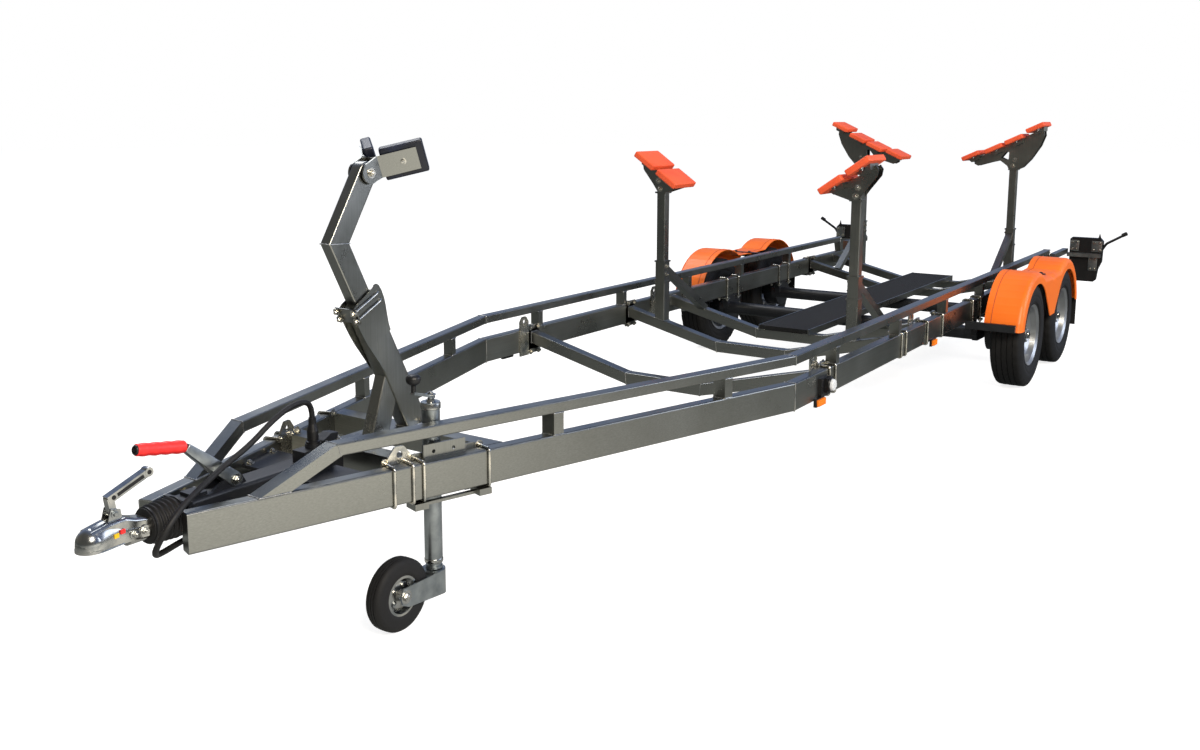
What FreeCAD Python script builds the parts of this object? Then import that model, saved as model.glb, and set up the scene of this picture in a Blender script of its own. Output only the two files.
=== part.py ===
import FreeCAD, Part
import math
import os

# Tandem axle boat trailer. Millimetres. X runs rearwards from the front end of
# the side beams, Y is zero on the centre line with the left side negative, and
# Z is zero on the ground.

V = FreeCAD.Vector
os.makedirs("parts", exist_ok=True)

# Side beams and guard rails
BEAM_H = 120.0
BEAM_W = 50.0
BEAM_Z0 = 427.0
BEAM_Z1 = BEAM_Z0 + BEAM_H
FRONT_HALF = 114.0
KNEE_X = 2414.0
HALF = 863.0
BEAM_END = 7300.0
RAIL_H = 40.0
RAIL_Z1 = 665.0
RAIL_Z0 = RAIL_Z1 - RAIL_H
RAIL_FOOT = 200.0
RAIL_BEND = 438.0
RAIL_REAR = 7120.0
UPRIGHTS = (1234.0, 2035.0, 2872.0, 3712.0, 4510.0, 5270.0, 6080.0)
UPRIGHT_L = 40.0
SLOPE = math.atan2(HALF - FRONT_HALF, KNEE_X)

# Dropped cross members
CM_X = (2808.0, 3772.0, 4290.0, 6500.0, 7000.0)
CM_W = 60.0
CM_H = 60.0
CM_END_Z = 530.0
CM_MID_Z = 383.0
CM_FLAT = 215.0

# Running gear
WHEEL_R = 325.0
TYRE_W = 190.0
TYRE_PROUD = 306.0
TYRE_OUT = HALF + TYRE_PROUD
TYRE_MID = TYRE_OUT - TYRE_W / 2.0
RIM_R = 190.0
AXLE_X = (5307.0, 6159.0)
TUBE_BACK = 190.0
TUBE_R = 42.0
TUBE_Z = 335.0
FENDER_GAP = 62.0
FENDER_R = WHEEL_R + FENDER_GAP
FENDER_Z = WHEEL_R + 6.0
FENDER_INSET = 100.0
FENDER_IN = HALF + FENDER_INSET
FENDER_COVER = 15.0
FENDER_OUT = TYRE_OUT + FENDER_COVER
FENDER_T = 5.0
FENDER_DROP = 65.0
FENDER_BOTTOM = FENDER_Z + FENDER_DROP
LIP_COVER = 7.0
LIP_R = WHEEL_R - LIP_COVER

# Winch post and bow stop
POST_TOP = (820.0, 1460.0)
ELBOW = (683.0, 1236.0)
POST_FOOT = (1022.0, BEAM_Z1 + 12.0)
CLAMP_Z = 1018.0
POST_D = 95.0
POST_W = 62.0
ARM_D = 78.0
ARM_W = 46.0
BOW_TILT = 20.0

# Hull posts
HULL_INSET = 273.0
HULL_Y = HALF - HULL_INSET
POST_TUBE = 64.0
SLEEVE_Z = 700.0
FRONT_HEAD_Z = 1222.0
FRONT_TILT = 34.5
FRONT_PADS = ((490.0, 1308.0), (634.0, 1408.0))
FRONT_PLATE = ((562.0, 1222.0), (602.0, 1222.0), (640.0, 1276.0), (672.0, 1316.0), (702.0, 1354.0),
               (708.0, 1388.0), (692.0, 1410.0), (466.0, 1262.0), (462.0, 1254.0), (512.0, 1238.0))
REAR_HEAD_Z = 1272.0
REAR_TILT = 25.0
REAR_PADS = ((302.0, 1378.0), (468.0, 1436.0), (612.0, 1504.0), (760.0, 1592.0))
REAR_PLATE = ((562.0, 1272.0), (620.0, 1272.0), (658.0, 1290.0), (712.0, 1350.0), (776.0, 1452.0),
              (804.0, 1530.0), (800.0, 1560.0), (780.0, 1574.0), (600.0, 1488.0), (450.0, 1416.0),
              (312.0, 1350.0), (302.0, 1336.0), (306.0, 1310.0), (333.0, 1296.0), (421.0, 1322.0),
              (494.0, 1340.0), (548.0, 1300.0))
REAR_GAP = ((500.0, 1362.0), (540.0, 1344.0), (556.0, 1352.0), (558.0, 1402.0), (538.0, 1410.0))

# Lashing eyes
EYE_R = 11.0
EYE_Z = BEAM_Z1 + 45.0
FRONT_EYE_S = 662.0
FRONT_EYE_Z = BEAM_Z1 + 29.0

# Walkway
DECK_X0 = 4190.0
DECK_X1 = 7040.0
DECK_HALF = 155.0
DECK_Z0 = 396.0
DECK_Z1 = 420.0

# Coupling, overrun housing and hand brake
COUPLE_Z = 507.0
BOOT_R = 60.0
BALL = (-219.0, 512.0)
LIP_OUT = 42.0
HANDLE = (230.0, 569.5)
GRIP_REAR = (80.0, 704.0)
GRIP_FRONT = (-80.0, 733.0)

# Trailer plug parked in its holder, and the route of its cable
CABLE_R = 9.0
PLUG = (541.0, -22.0)
PLUG_Z0 = 606.0
PLUG_Z1 = 690.0
GLAND = (95.0, 0.0, 432.0)
CABLE = (GLAND, (40.0, -6.0, 426.0), (-18.0, -18.0, 420.0), (-66.0, -48.0, 432.0), (-78.0, -88.0, 480.0),
         (-52.0, -106.0, 530.0), (12.0, -90.0, 572.0), (95.0, -66.0, 598.0), (180.0, -48.0, 629.0),
         (278.0, -42.0, 665.0), (372.0, -38.0, 722.0), (455.0, -32.0, 752.0), (520.0, -26.0, 748.0),
         (541.0, -22.0, 716.0), (541.0, -22.0, PLUG_Z1))

# Jockey wheel, its tube standing beside the inner face of the left beam
JOCK_X = 818.0
JOCK_R = 120.0
JOCK_TRAIL = 176.0
JOCK_TOP = 722.0
JOCK_TUBE_Z = 172.0
FORK_TOP = 150.0
JOCK_Y = -(FRONT_HALF + JOCK_X * math.tan(SLOPE) - BEAM_W / math.cos(SLOPE)) + 36.0

# Lamps
LAMP_X = 2728.0
TAIL_X = 7780.0
TAIL_DEEP = 50.0
TAIL_IN = 874.0
TAIL_OUT = 1120.0
TAIL_TOP = 708.0

# Middle of the whole length
MID_X = (BALL[0] - LIP_OUT + TAIL_X + TAIL_DEEP + 20.0) / 2.0


def box(x0, x1, y0, y1, z0, z1):
    return Part.makeBox(x1 - x0, y1 - y0, z1 - z0, V(x0, y0, z0))


def rod(p, q, r):
    p, q = V(*p), V(*q)
    return Part.makeCylinder(r, (q - p).Length, p, q - p)


def fuse(items):
    out = items[0]
    for item in items[1:]:
        out = out.fuse(item)
    return out.removeSplitter()


def cut(base, tools):
    for tool in tools:
        base = base.cut(tool)
    return base


def prism(points, axis, a, b):
    """Polygon in the plane across one axis, drawn out from a to b."""
    if axis == "y":
        pts = [V(p[0], a, p[1]) for p in points]
        run = V(0, b - a, 0)
    elif axis == "x":
        pts = [V(a, p[0], p[1]) for p in points]
        run = V(b - a, 0, 0)
    else:
        pts = [V(p[0], p[1], a) for p in points]
        run = V(0, 0, b - a)
    return Part.Face(Part.makePolygon(pts + [pts[0]])).extrude(run)


def bar(p, q, across, deep, side=(0, 1, 0), trim=0.0):
    """Square tube from p to q: across is measured along the side direction."""
    p, q, s = V(*p), V(*q), V(*side)
    d = (q - p).normalize()
    s = (s - d * s.dot(d)).normalize()
    u = d.cross(s).normalize()
    p, q = p - d * trim, q + d * trim
    c = [p + s * (i * across / 2.0) + u * (j * deep / 2.0)
         for i, j in ((-1, -1), (1, -1), (1, 1), (-1, 1))]
    return Part.Face(Part.makePolygon(c + [c[0]])).extrude(q - p)


def soften(shape, r, test):
    """Round the edges that pass the test, leaving the shape as it is if that fails."""
    edges = [e for e in shape.Edges if test(e)]
    if not edges:
        return shape
    try:
        out = shape.makeFillet(r, edges)
        if out.isValid() and out.Volume > 0:
            return out
    except Exception:
        pass
    return shape


def long_edge(length):
    return lambda e: e.Length > length


def path(points, bends):
    """Straight runs joined by tangent arcs of the given radii."""
    pts = [V(*p) for p in points]
    edges = []
    start = pts[0]
    for i in range(1, len(pts) - 1):
        a = (pts[i - 1] - pts[i]).normalize()
        b = (pts[i + 1] - pts[i]).normalize()
        half = a.getAngle(b) / 2.0
        r = bends[i - 1] if isinstance(bends, (list, tuple)) else bends
        t = r / math.tan(half)
        p0, p1 = pts[i] + a * t, pts[i] + b * t
        centre = pts[i] + (a + b).normalize() * (r / math.sin(half))
        mid = centre + (pts[i] - centre).normalize() * r
        if (p0 - start).Length > 1e-4:
            edges.append(Part.LineSegment(start, p0).toShape())
        edges.append(Part.Arc(p0, mid, p1).toShape())
        start = p1
    edges.append(Part.LineSegment(start, pts[-1]).toShape())
    return Part.Wire(edges)


def tube(points, bends, r):
    wire = path(points, bends)
    d = (V(*points[1]) - V(*points[0])).normalize()
    ring = Part.Wire([Part.Circle(V(*points[0]), d, r).toShape()])
    return wire.makePipeShell([ring], True, False)


def spin_y(profile, centre):
    """Turn a closed profile of (radius, y) about the line along Y through centre."""
    x, y, z = centre
    pts = [V(x + p[0], y + p[1], z) for p in profile]
    face = Part.Face(Part.makePolygon(pts + [pts[0]]))
    return face.revolve(V(x, y, z), V(0, 1, 0), 360)


def flip(shape):
    return shape.mirror(V(0, 0, 0), V(0, 1, 0))


def half_at(x):
    """Distance from the centre line to the outer face of a beam."""
    return FRONT_HALF + (HALF - FRONT_HALF) * min(max(x, 0.0), KNEE_X) / KNEE_X


def inner_at(x):
    """Distance from the centre line to the inner face of a beam."""
    if x >= knee_inner():
        return HALF - BEAM_W
    return half_at(x) - BEAM_W / math.cos(SLOPE)


def knee_inner():
    return (HALF - BEAM_W - FRONT_HALF + BEAM_W / math.cos(SLOPE)) / math.tan(SLOPE)


def on_beam(shape, s, side=-1):
    """Place a shape made for a straight run on the sloping beam, s along the run.
    Its own X is the run, its own Y zero is the outer face with the beam at plus Y."""
    out = shape.copy()
    out.rotate(V(0, 0, 0), V(0, 0, 1), -math.degrees(SLOPE))
    out.translate(V(s, -half_at(s), 0))
    return out


def beside(shape, x):
    out = shape.copy()
    out.translate(V(x, -HALF, 0))
    return out


def plan(x0, x1, z0, z1):
    """The bent strip of a left beam seen from above, between two stations."""
    ki = knee_inner()
    outer = [(x0, -half_at(x0))]
    if x0 < KNEE_X < x1:
        outer.append((KNEE_X, -HALF))
    outer.append((x1, -half_at(x1)))
    inner = [(x1, -inner_at(x1))]
    if x0 < ki < x1:
        inner.append((ki, -(HALF - BEAM_W)))
    inner.append((x0, -inner_at(x0)))
    return prism(outer + inner, "z", z0, z1)


def save(name, shape):
    """Write one piece with the whole length of the trailer centred on X zero."""
    if isinstance(shape, (list, tuple)):
        shape = Part.makeCompound(list(shape))
    shape = shape.copy()
    shape.translate(V(-MID_X, 0, 0))
    for s in shape.Solids:
        if s.Volume <= 0 or not s.isValid():
            print("check solid in", name)
    shape.exportStep("parts/%s.step" % name)
    b = shape.BoundBox
    print("%-22s solids %d  x %.0f..%.0f y %.0f..%.0f z %.0f..%.0f" % (
        name, len(shape.Solids), b.XMin, b.XMax, b.YMin, b.YMax, b.ZMin, b.ZMax))


def side_beam():
    """Bent box beam. Its front end is cut square to the sloping run."""
    beam = plan(0.0, BEAM_END, BEAM_Z0, BEAM_Z1)
    nose = box(-100.0, 0.0, -100.0, 200.0, 0.0, 1000.0)
    nose.rotate(V(0, 0, 0), V(0, 0, 1), -math.degrees(SLOPE))
    nose.translate(V(0, -half_at(0.0), 0))
    beam = beam.cut(nose)
    return soften(beam, 6.0, long_edge(1500.0))


def guard_rail():
    drop = (RAIL_BEND - RAIL_FOOT) / (RAIL_Z1 - BEAM_Z1)
    foot = RAIL_H * math.sqrt(1.0 + drop * drop)
    rear_drop = 0.35
    rear_foot = RAIL_H * math.sqrt(1.0 + rear_drop * rear_drop)
    end = RAIL_REAR + rear_drop * (RAIL_Z1 - BEAM_Z1)
    profile = [
        (RAIL_FOOT, BEAM_Z1), (RAIL_BEND, RAIL_Z1), (RAIL_REAR, RAIL_Z1), (end, BEAM_Z1),
        (end - rear_foot, BEAM_Z1),
        (end - rear_foot - rear_drop * (RAIL_Z0 - BEAM_Z1), RAIL_Z0),
        (RAIL_FOOT + foot + drop * (RAIL_Z0 - BEAM_Z1), RAIL_Z0),
        (RAIL_FOOT + foot, BEAM_Z1)]
    rail = plan(100.0, BEAM_END, BEAM_Z1, RAIL_Z1).common(prism(profile, "y", -1000.0, 0.0))
    rail = soften(rail, 5.0, long_edge(1500.0))
    posts = []
    for x in UPRIGHTS:
        strip = plan(x - UPRIGHT_L / 2.0, x + UPRIGHT_L / 2.0, BEAM_Z1, RAIL_Z0)
        posts.append(strip)
    return fuse([rail] + posts)


def cross_top(y):
    """Height of the top face of a dropped cross member."""
    y = abs(y)
    if y <= CM_FLAT:
        return CM_MID_Z
    return CM_MID_Z + (CM_END_Z - CM_MID_Z) * (y - CM_FLAT) / (HALF - BEAM_W - CM_FLAT)


def cross_member(x):
    end = HALF - BEAM_W
    fall = math.atan2(CM_END_Z - CM_MID_Z, end - CM_FLAT)
    deep = CM_H / math.cos(fall)
    corner = CM_FLAT - CM_H * math.tan(fall / 2.0)
    pts = [(-end, CM_END_Z), (-CM_FLAT, CM_MID_Z), (CM_FLAT, CM_MID_Z), (end, CM_END_Z),
           (end, CM_END_Z - deep), (corner, CM_MID_Z - CM_H), (-corner, CM_MID_Z - CM_H),
           (-end, CM_END_Z - deep)]
    body = prism(pts, "x", x - CM_W / 2.0, x + CM_W / 2.0)
    return soften(body, 5.0, lambda e: e.Length > 400.0)


def post_base():
    """Two cross tubes between the beams and the plate that the winch post stands on."""
    parts = []
    back = POST_FOOT[0]
    for x in (back - 290.0, back):
        i0, i1 = inner_at(x - 32.0), inner_at(x + 32.0)
        parts.append(prism([(x - 32.0, -i0), (x + 32.0, -i1), (x + 32.0, i1), (x - 32.0, i0)],
                           "z", BEAM_Z1 - 78.0, BEAM_Z1))
    parts.append(box(back - 320.0, back + 64.0, -80.0, 80.0, BEAM_Z1, POST_FOOT[1]))
    return fuse(parts)


def tyre(x, y_mid):
    w = TYRE_W / 2.0
    prof = [(RIM_R - 8.0, -w + 22.0), (RIM_R + 10.0, -w + 12.0), (RIM_R + 40.0, -w + 2.0),
            (RIM_R + 68.0, -w), (RIM_R + 100.0, -w + 8.0), (WHEEL_R - 15.0, -w + 20.0),
            (WHEEL_R - 4.0, -w + 36.0), (WHEEL_R, -w + 60.0)]
    prof = prof + [(r, -y) for r, y in reversed(prof)]
    return spin_y(prof, (x, y_mid, WHEEL_R))


def rim(x, y_mid, side):
    """Steel disc wheel. The dish opens to the outer side."""
    w = TYRE_W / 2.0
    o = [(0.0, -52.0), (32.0, -52.0), (32.0, -34.0), (70.0, -38.0), (95.0, -26.0), (128.0, -48.0),
         (160.0, -30.0), (166.0, -52.0), (171.0, -w + 24.0), (RIM_R, -w + 12.0),
         (RIM_R - 8.0, -w + 22.0), (RIM_R - 8.0, w - 22.0), (RIM_R, w - 12.0), (172.0, w - 20.0),
         (168.0, w - 40.0), (160.0, 10.0), (150.0, -12.0), (128.0, -32.0), (95.0, -12.0),
         (70.0, -22.0), (0.0, -22.0)]
    body = spin_y(o, (x, 0.0, WHEEL_R))
    holes = []
    for k in range(10):
        a = math.radians(36.0 * k + 18.0)
        cx, cz = x + 143.0 * math.cos(a), WHEEL_R + 143.0 * math.sin(a)
        holes.append(rod((cx, -70.0, cz), (cx, 10.0, cz), 9.0))
    body = cut(body, holes)
    if side > 0:
        body = flip(body)
    body.translate(V(0, y_mid, 0))
    return body


def axle(x):
    """Rubber spring axle: tube, mounting pads, trailing arms, brake drums and hubs."""
    t = x - TUBE_BACK
    inside = HALF - BEAM_W
    parts = [rod((t, -HALF + 5.0, TUBE_Z), (t, HALF - 5.0, TUBE_Z), TUBE_R)]
    for s in (-1, 1):
        y0, y1 = sorted((s * inside, s * HALF))
        parts.append(box(t - 115.0, t + 115.0, y0, y1, BEAM_Z0 - 10.0, BEAM_Z0))
        y0, y1 = sorted((s * (inside + 5.0), s * (HALF - 5.0)))
        parts.append(prism([(t - 62.0, BEAM_Z0 - 10.0), (t + 62.0, BEAM_Z0 - 10.0), (t + 48.0, TUBE_Z - 6.0),
                            (t - 48.0, TUBE_Z - 6.0)], "y", y0, y1))
        a0, a1 = sorted((s * (HALF - 5.0), s * (HALF + 26.0)))
        arm = prism([(t - 38.0, TUBE_Z + 34.0), (t + 22.0, TUBE_Z + 42.0), (x + 26.0, WHEEL_R + 30.0),
                     (x + 38.0, WHEEL_R), (x + 28.0, WHEEL_R - 30.0), (x - 20.0, WHEEL_R - 36.0),
                     (t - 30.0, TUBE_Z - 42.0), (t - 48.0, TUBE_Z - 8.0)], "y", a0, a1)
        parts.append(arm)
        hub = TYRE_MID - 62.0
        parts.append(rod((x, s * (HALF + 20.0), WHEEL_R), (x, s * hub, WHEEL_R), 24.0))
        parts.append(rod((x, s * (HALF + 42.0), WHEEL_R), (x, s * hub, WHEEL_R), 118.0))
        parts.append(rod((x, s * hub, WHEEL_R), (x, s * (TYRE_MID + 21.5), WHEEL_R), 50.0))
    return fuse(parts)


def arc_points(cx, cz, r, a0, a1, n):
    out = []
    for i in range(n + 1):
        a = math.radians(a0 + (a1 - a0) * i / n)
        out.append((cx + r * math.cos(a), cz + r * math.sin(a)))
    return out


def fender_profile(r, bottom):
    """Side view of the double arch, one bow over each wheel with a shallow saddle."""
    x1, x2 = AXLE_X
    mid = (x1 + x2) / 2.0
    d = math.degrees(math.asin(min(1.0, (bottom - FENDER_Z) / r)))
    pts = arc_points(x1, FENDER_Z, r, 180.0 - d, 58.0, 14)
    pts += [(mid - 60.0, FENDER_Z + r * 0.84), (mid, FENDER_Z + r * 0.815), (mid + 60.0, FENDER_Z + r * 0.84)]
    pts += arc_points(x2, FENDER_Z, r, 122.0, d, 14)
    return pts


def fender(side):
    """Double arch with a turned down outer lip and a web that falls between the wheels."""
    outer = fender_profile(FENDER_R, FENDER_BOTTOM)
    inner = fender_profile(FENDER_R - FENDER_T, FENDER_BOTTOM)
    solid = prism(outer, "y", FENDER_IN, FENDER_OUT)
    solid = soften(solid, 34.0, lambda e: e.BoundBox.YMin > FENDER_OUT - 1.0
                   and e.BoundBox.YMax > FENDER_OUT - 1.0 and e.BoundBox.ZMax > FENDER_BOTTOM + 3.0)
    hollow = prism(inner + [(inner[-1][0], FENDER_BOTTOM - 5.0), (inner[0][0], FENDER_BOTTOM - 5.0)],
                   "y", FENDER_IN - 10.0, FENDER_OUT - FENDER_T)
    hollow = soften(hollow, 30.0, lambda e: e.BoundBox.YMin > FENDER_OUT - FENDER_T - 1.0
                    and e.BoundBox.ZMax > FENDER_BOTTOM + 3.0)
    shell = solid.cut(hollow)
    x1, x2 = AXLE_X
    mid = (x1 + x2) / 2.0
    for x, s in ((x1, 1), (x2, -1)):
        arch = arc_points(x, FENDER_Z, LIP_R, 180.0 if s > 0 else 0.0, 36.0 if s > 0 else 144.0, 16)
        pts = [(x - s * LIP_R, 300.0)] + arch + [(mid - s * 58.0, FENDER_BOTTOM - 2.0), (mid - s * 58.0, 300.0)]
        shell = shell.cut(prism(pts, "y", FENDER_OUT - 60.0, FENDER_OUT + 20.0))
    shell = shell.removeSplitter()
    return shell if side > 0 else flip(shell)


def walkway():
    """Carpeted board between two edge angles, resting on the three rear cross members."""
    deck = box(DECK_X0, DECK_X1, -DECK_HALF, DECK_HALF, DECK_Z0, DECK_Z1)
    frame = []
    for s in (-1, 1):
        a, b = sorted((s * DECK_HALF, s * (DECK_HALF + 6.0)))
        frame.append(box(DECK_X0, DECK_X1, a, b, CM_MID_Z, DECK_Z1 + 2.0))
        a, b = sorted((s * (DECK_HALF - 34.0), s * DECK_HALF))
        frame.append(box(DECK_X0, DECK_X1, a, b, DECK_Z0 - 6.0, DECK_Z0))
    span = CM_X[3] - CM_X[2]
    for x in (CM_X[2], CM_X[2] + span / 3.0, CM_X[2] + span * 2.0 / 3.0, CM_X[3], CM_X[4]):
        z0 = CM_MID_Z if x in CM_X else DECK_Z0 - 6.0
        frame.append(box(x - 25.0, x + 25.0, -DECK_HALF, DECK_HALF, z0, DECK_Z0))
    return deck, fuse(frame)


def fender_stays(shell):
    """Bars that carry a left fender from the beam and the rail."""
    reach = math.sqrt(FENDER_R ** 2 - (FENDER_BOTTOM - FENDER_Z) ** 2)
    x0, x1 = AXLE_X[0] - reach, AXLE_X[1] + reach
    mid = (AXLE_X[0] + AXLE_X[1]) / 2.0
    z = FENDER_BOTTOM
    front = box(x0 - 24.0, x0 + 2.0, -FENDER_OUT + 34.0, -HALF, z, z + 44.0)
    rear = box(x1 - 2.0, x1 + 24.0, -FENDER_OUT + 34.0, -HALF, z, z + 32.0)
    saddle = box(mid - 18.0, mid + 18.0, -FENDER_OUT + 60.0, -HALF, RAIL_Z0, RAIL_Z1 - 8.0)
    out = []
    for bar_ in (front, rear, saddle):
        piece = bar_.cut(shell)
        out.append(max(piece.Solids, key=lambda q: q.Volume))
    return out


def mud_flap():
    """Flexible flap that continues the rear edge of a fender downwards."""
    x1 = AXLE_X[1] + math.sqrt(FENDER_R ** 2 - (FENDER_BOTTOM - FENDER_Z) ** 2)
    return box(x1 - FENDER_T, x1, -FENDER_OUT + 8.0, -FENDER_IN - 4.0, 208.0, FENDER_BOTTOM)


def housing():
    """Overrun brake housing on its mounting plates between the beams."""
    z0, z1 = COUPLE_Z - 46.0, COUPLE_Z + 46.0
    tube_ = box(45.0, 610.0, -46.0, 46.0, z0, z1)
    tube_ = soften(tube_, 12.0, long_edge(300.0))
    parts = [tube_, box(45.0, 60.0, -58.0, 58.0, z0 - 8.0, z1 + 4.0)]
    for x0, x1 in ((70.0, 200.0), (430.0, 600.0)):
        i0, i1 = inner_at(x0), inner_at(x1)
        for zp in (COUPLE_Z + 6.0, z0 - 10.0):
            parts.append(prism([(x0, -i0), (x1, -i1), (x1, i1), (x0, i0)], "z", zp, zp + 10.5))
    parts.append(box(610.0, 660.0, -30.0, 30.0, COUPLE_Z - 26.0, COUPLE_Z + 28.0))
    parts.append(box(80.0, 130.0, -30.0, 30.0, z1 - 4.0, z1 + 10.0))
    hx, hz = HANDLE
    for y in (-26.0, 14.0):
        parts.append(prism([(hx - 86.0, z1 - 4.0), (hx + 44.0, z1 - 4.0), (hx + 26.0, hz + 12.0),
                            (hx + 2.0, hz + 26.0), (hx - 20.0, hz + 16.0), (hx - 60.0, hz - 4.0)],
                           "y", y, y + 8.0))
    px, py = PLUG
    parts.append(rod((GLAND[0] + 1.5, 0, GLAND[2]), (GLAND[0] + 45.0, 0, GLAND[2]), 14.0))
    parts.append(box(GLAND[0] + 15.0, GLAND[0] + 45.0, -14.0, 14.0, GLAND[2], z0 - 8.0))
    parts.append(box(px - 62.0, px + 60.0, py - 28.0, py + 28.0, z1 - 4.0, z1 + 40.0))
    parts.append(rod((px, py, z1 + 30.0), (px, py, PLUG_Z0), 26.0))
    parts.append(prism([(px + 20.0, PLUG_Z0 - 18.0), (px + 84.0, PLUG_Z0 - 2.0), (px + 90.0, PLUG_Z0 + 18.0),
                        (px + 60.0, PLUG_Z0 + 22.0), (px + 25.0, PLUG_Z0 + 4.0)], "y", py - 21.0, py + 21.0))
    return fuse(parts)


def cable():
    """Free cable from the gland, round the bellows and over the lever to the parked plug."""
    pts = [V(*p) for p in CABLE]
    bends = []
    for i in range(1, len(pts) - 1):
        a, b = pts[i] - pts[i - 1], pts[i + 1] - pts[i]
        turn = a.getAngle(b)
        bends.append(0.45 * min(a.Length, b.Length) / math.tan(turn / 2.0))
    print("cable radii", [round(r) for r in bends])
    print("cable length", round(path(CABLE, bends).Length))
    return tube(CABLE, bends, CABLE_R)


def plug():
    """Plug body with its collar, standing in the socket of the holder."""
    x, y = PLUG
    z0, z1 = PLUG_Z0, PLUG_Z1
    ring = [V(x + r, y, z) for r, z in (
        (0.0, z0), (23.0, z0), (23.0, z0 + 7.0), (18.0, z0 + 9.0), (18.5, z0 + 40.0), (16.0, z0 + 50.0),
        (12.5, z0 + 64.0), (12.0, z1), (0.0, z1))]
    return Part.Face(Part.makePolygon(ring + [ring[0]])).revolve(V(x, y, 0), V(0, 0, 1), 360)


def bellows():
    """Ribbed rubber boot over the drawbar, widest at the housing."""
    x = -58.0
    pts = [(x, 0.0), (x, BOOT_R - 10.0)]
    for k in range(4):
        low, high = BOOT_R - 10.0 + k * 1.5, BOOT_R - 2.0 + k * 1.5
        pts += [(x + 4.0, low), (x + 10.0, high), (x + 17.0, high), (x + 23.0, low)]
        x += 25.0
    pts += [(45.0, BOOT_R - 6.0), (45.0, 0.0)]
    ring = [V(px, 0, COUPLE_Z + pr) for px, pr in pts]
    face = Part.Face(Part.makePolygon(ring + [ring[0]]))
    return face.revolve(V(0, 0, COUPLE_Z), V(1, 0, 0), 360)


def coupling():
    """Pressed ball coupling: domed nose with its socket, body, shank and raised catch."""
    bx, bz = BALL
    lip_z = bz - 22.0
    nose = Part.makeCylinder(40.0, bz - lip_z, V(bx, 0, lip_z))
    dome = Part.makeSphere(40.0, V(bx, 0, bz)).common(box(bx - 60, bx + 60, -60, 60, bz, bz + 60))
    top = bz + 47.0
    body = prism([(bx - 10.0, bz - 18.0), (-96.0, bz - 22.0), (-58.0, bz - 20.0), (-58.0, bz + 26.0),
                  (-100.0, bz + 36.0), (-130.0, top), (-176.0, top - 2.0), (bx - 12.0, bz + 34.0)],
                 "y", -29.0, 29.0)
    body = soften(body, 9.0, lambda e: e.Length > 15.0 and e.BoundBox.YLength < 1.0
                  and e.BoundBox.ZMin > bz - 5.0 and e.BoundBox.XLength > 14.0)
    shank = Part.makeCylinder(33.0, 62.0, V(-120.0, 0, COUPLE_Z - 4.0), V(1, 0, 0))
    lip = Part.makeCylinder(LIP_OUT, 8.0, V(bx, 0, lip_z))
    head = fuse([nose, dome, body, shank, lip])
    head = head.cut(Part.makeSphere(25.5, V(bx, 0, bz - 4.0)))
    head = head.cut(Part.makeCylinder(25.5, 100.0, V(bx, 0, bz - 104.0)))
    lx, lz = bx + 65.0, bz + 63.0
    cheeks = [prism([(lx - 26.0, bz + 34.0), (lx + 22.0, bz + 34.0), (lx + 16.0, lz + 10.0),
                     (lx - 12.0, lz + 16.0)], "y", y, y + 4.0) for y in (-17.0, 13.0)]
    mx, mz = bx + 58.0, bz + 104.0
    tx, tz = bx + 178.0, bz + 150.0
    lever = fuse([
        rod((lx, -13.0, lz), (lx, 13.0, lz), 12.0),
        bar((lx, 0, lz), (mx, 0, mz + 4.0), 22.0, 20.0),
        bar((mx - 6.0, 0, mz - 2.0), (tx, 0, tz), 24.0, 22.0),
        rod((tx, -12.0, tz), (tx, 12.0, tz), 12.0)])
    pin = rod((lx, -20.0, lz), (lx, 20.0, lz), 5.0)
    return fuse([head] + cheeks + [lever, pin])


def grip_run():
    """Line of the hand brake grip, from its rear end to its front end."""
    return V(GRIP_REAR[0], -4.0, GRIP_REAR[1]), V(GRIP_FRONT[0], -4.0, GRIP_FRONT[1])


def brake_lever():
    """Hand brake arm on its pivot, with the stub that the grip is pushed on."""
    a, b = grip_run()
    d = (b - a).normalize()
    hx, hz = HANDLE
    arm = bar((hx + 2.0, -4.0, hz + 2.0), (a.x + 14.0, -4.0, a.z - 6.0), 10.0, 30.0)
    eye = rod((hx + 4.0, -18.0, hz), (hx + 4.0, 14.0, hz), 15.0)
    stub = rod(tuple(a - d * 14.0), tuple(a + d * 110.0), 9.0)
    return fuse([arm, eye, stub])


def brake_grip():
    a, b = grip_run()
    d = (b - a).normalize()
    grip = Part.makeCylinder(20.0, (b - a).Length, a, d)
    grip = soften(grip, 6.0, lambda e: e.Length > 60.0)
    return grip.cut(Part.makeCylinder(9.0, 170.0, a - d * 60.0, d))


def post_axis():
    """Foot, elbow and direction of the raked winch post."""
    foot = V(POST_FOOT[0], 0, POST_FOOT[1])
    top = V(ELBOW[0], 0, ELBOW[1])
    return foot, top, (top - foot).normalize()


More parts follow.
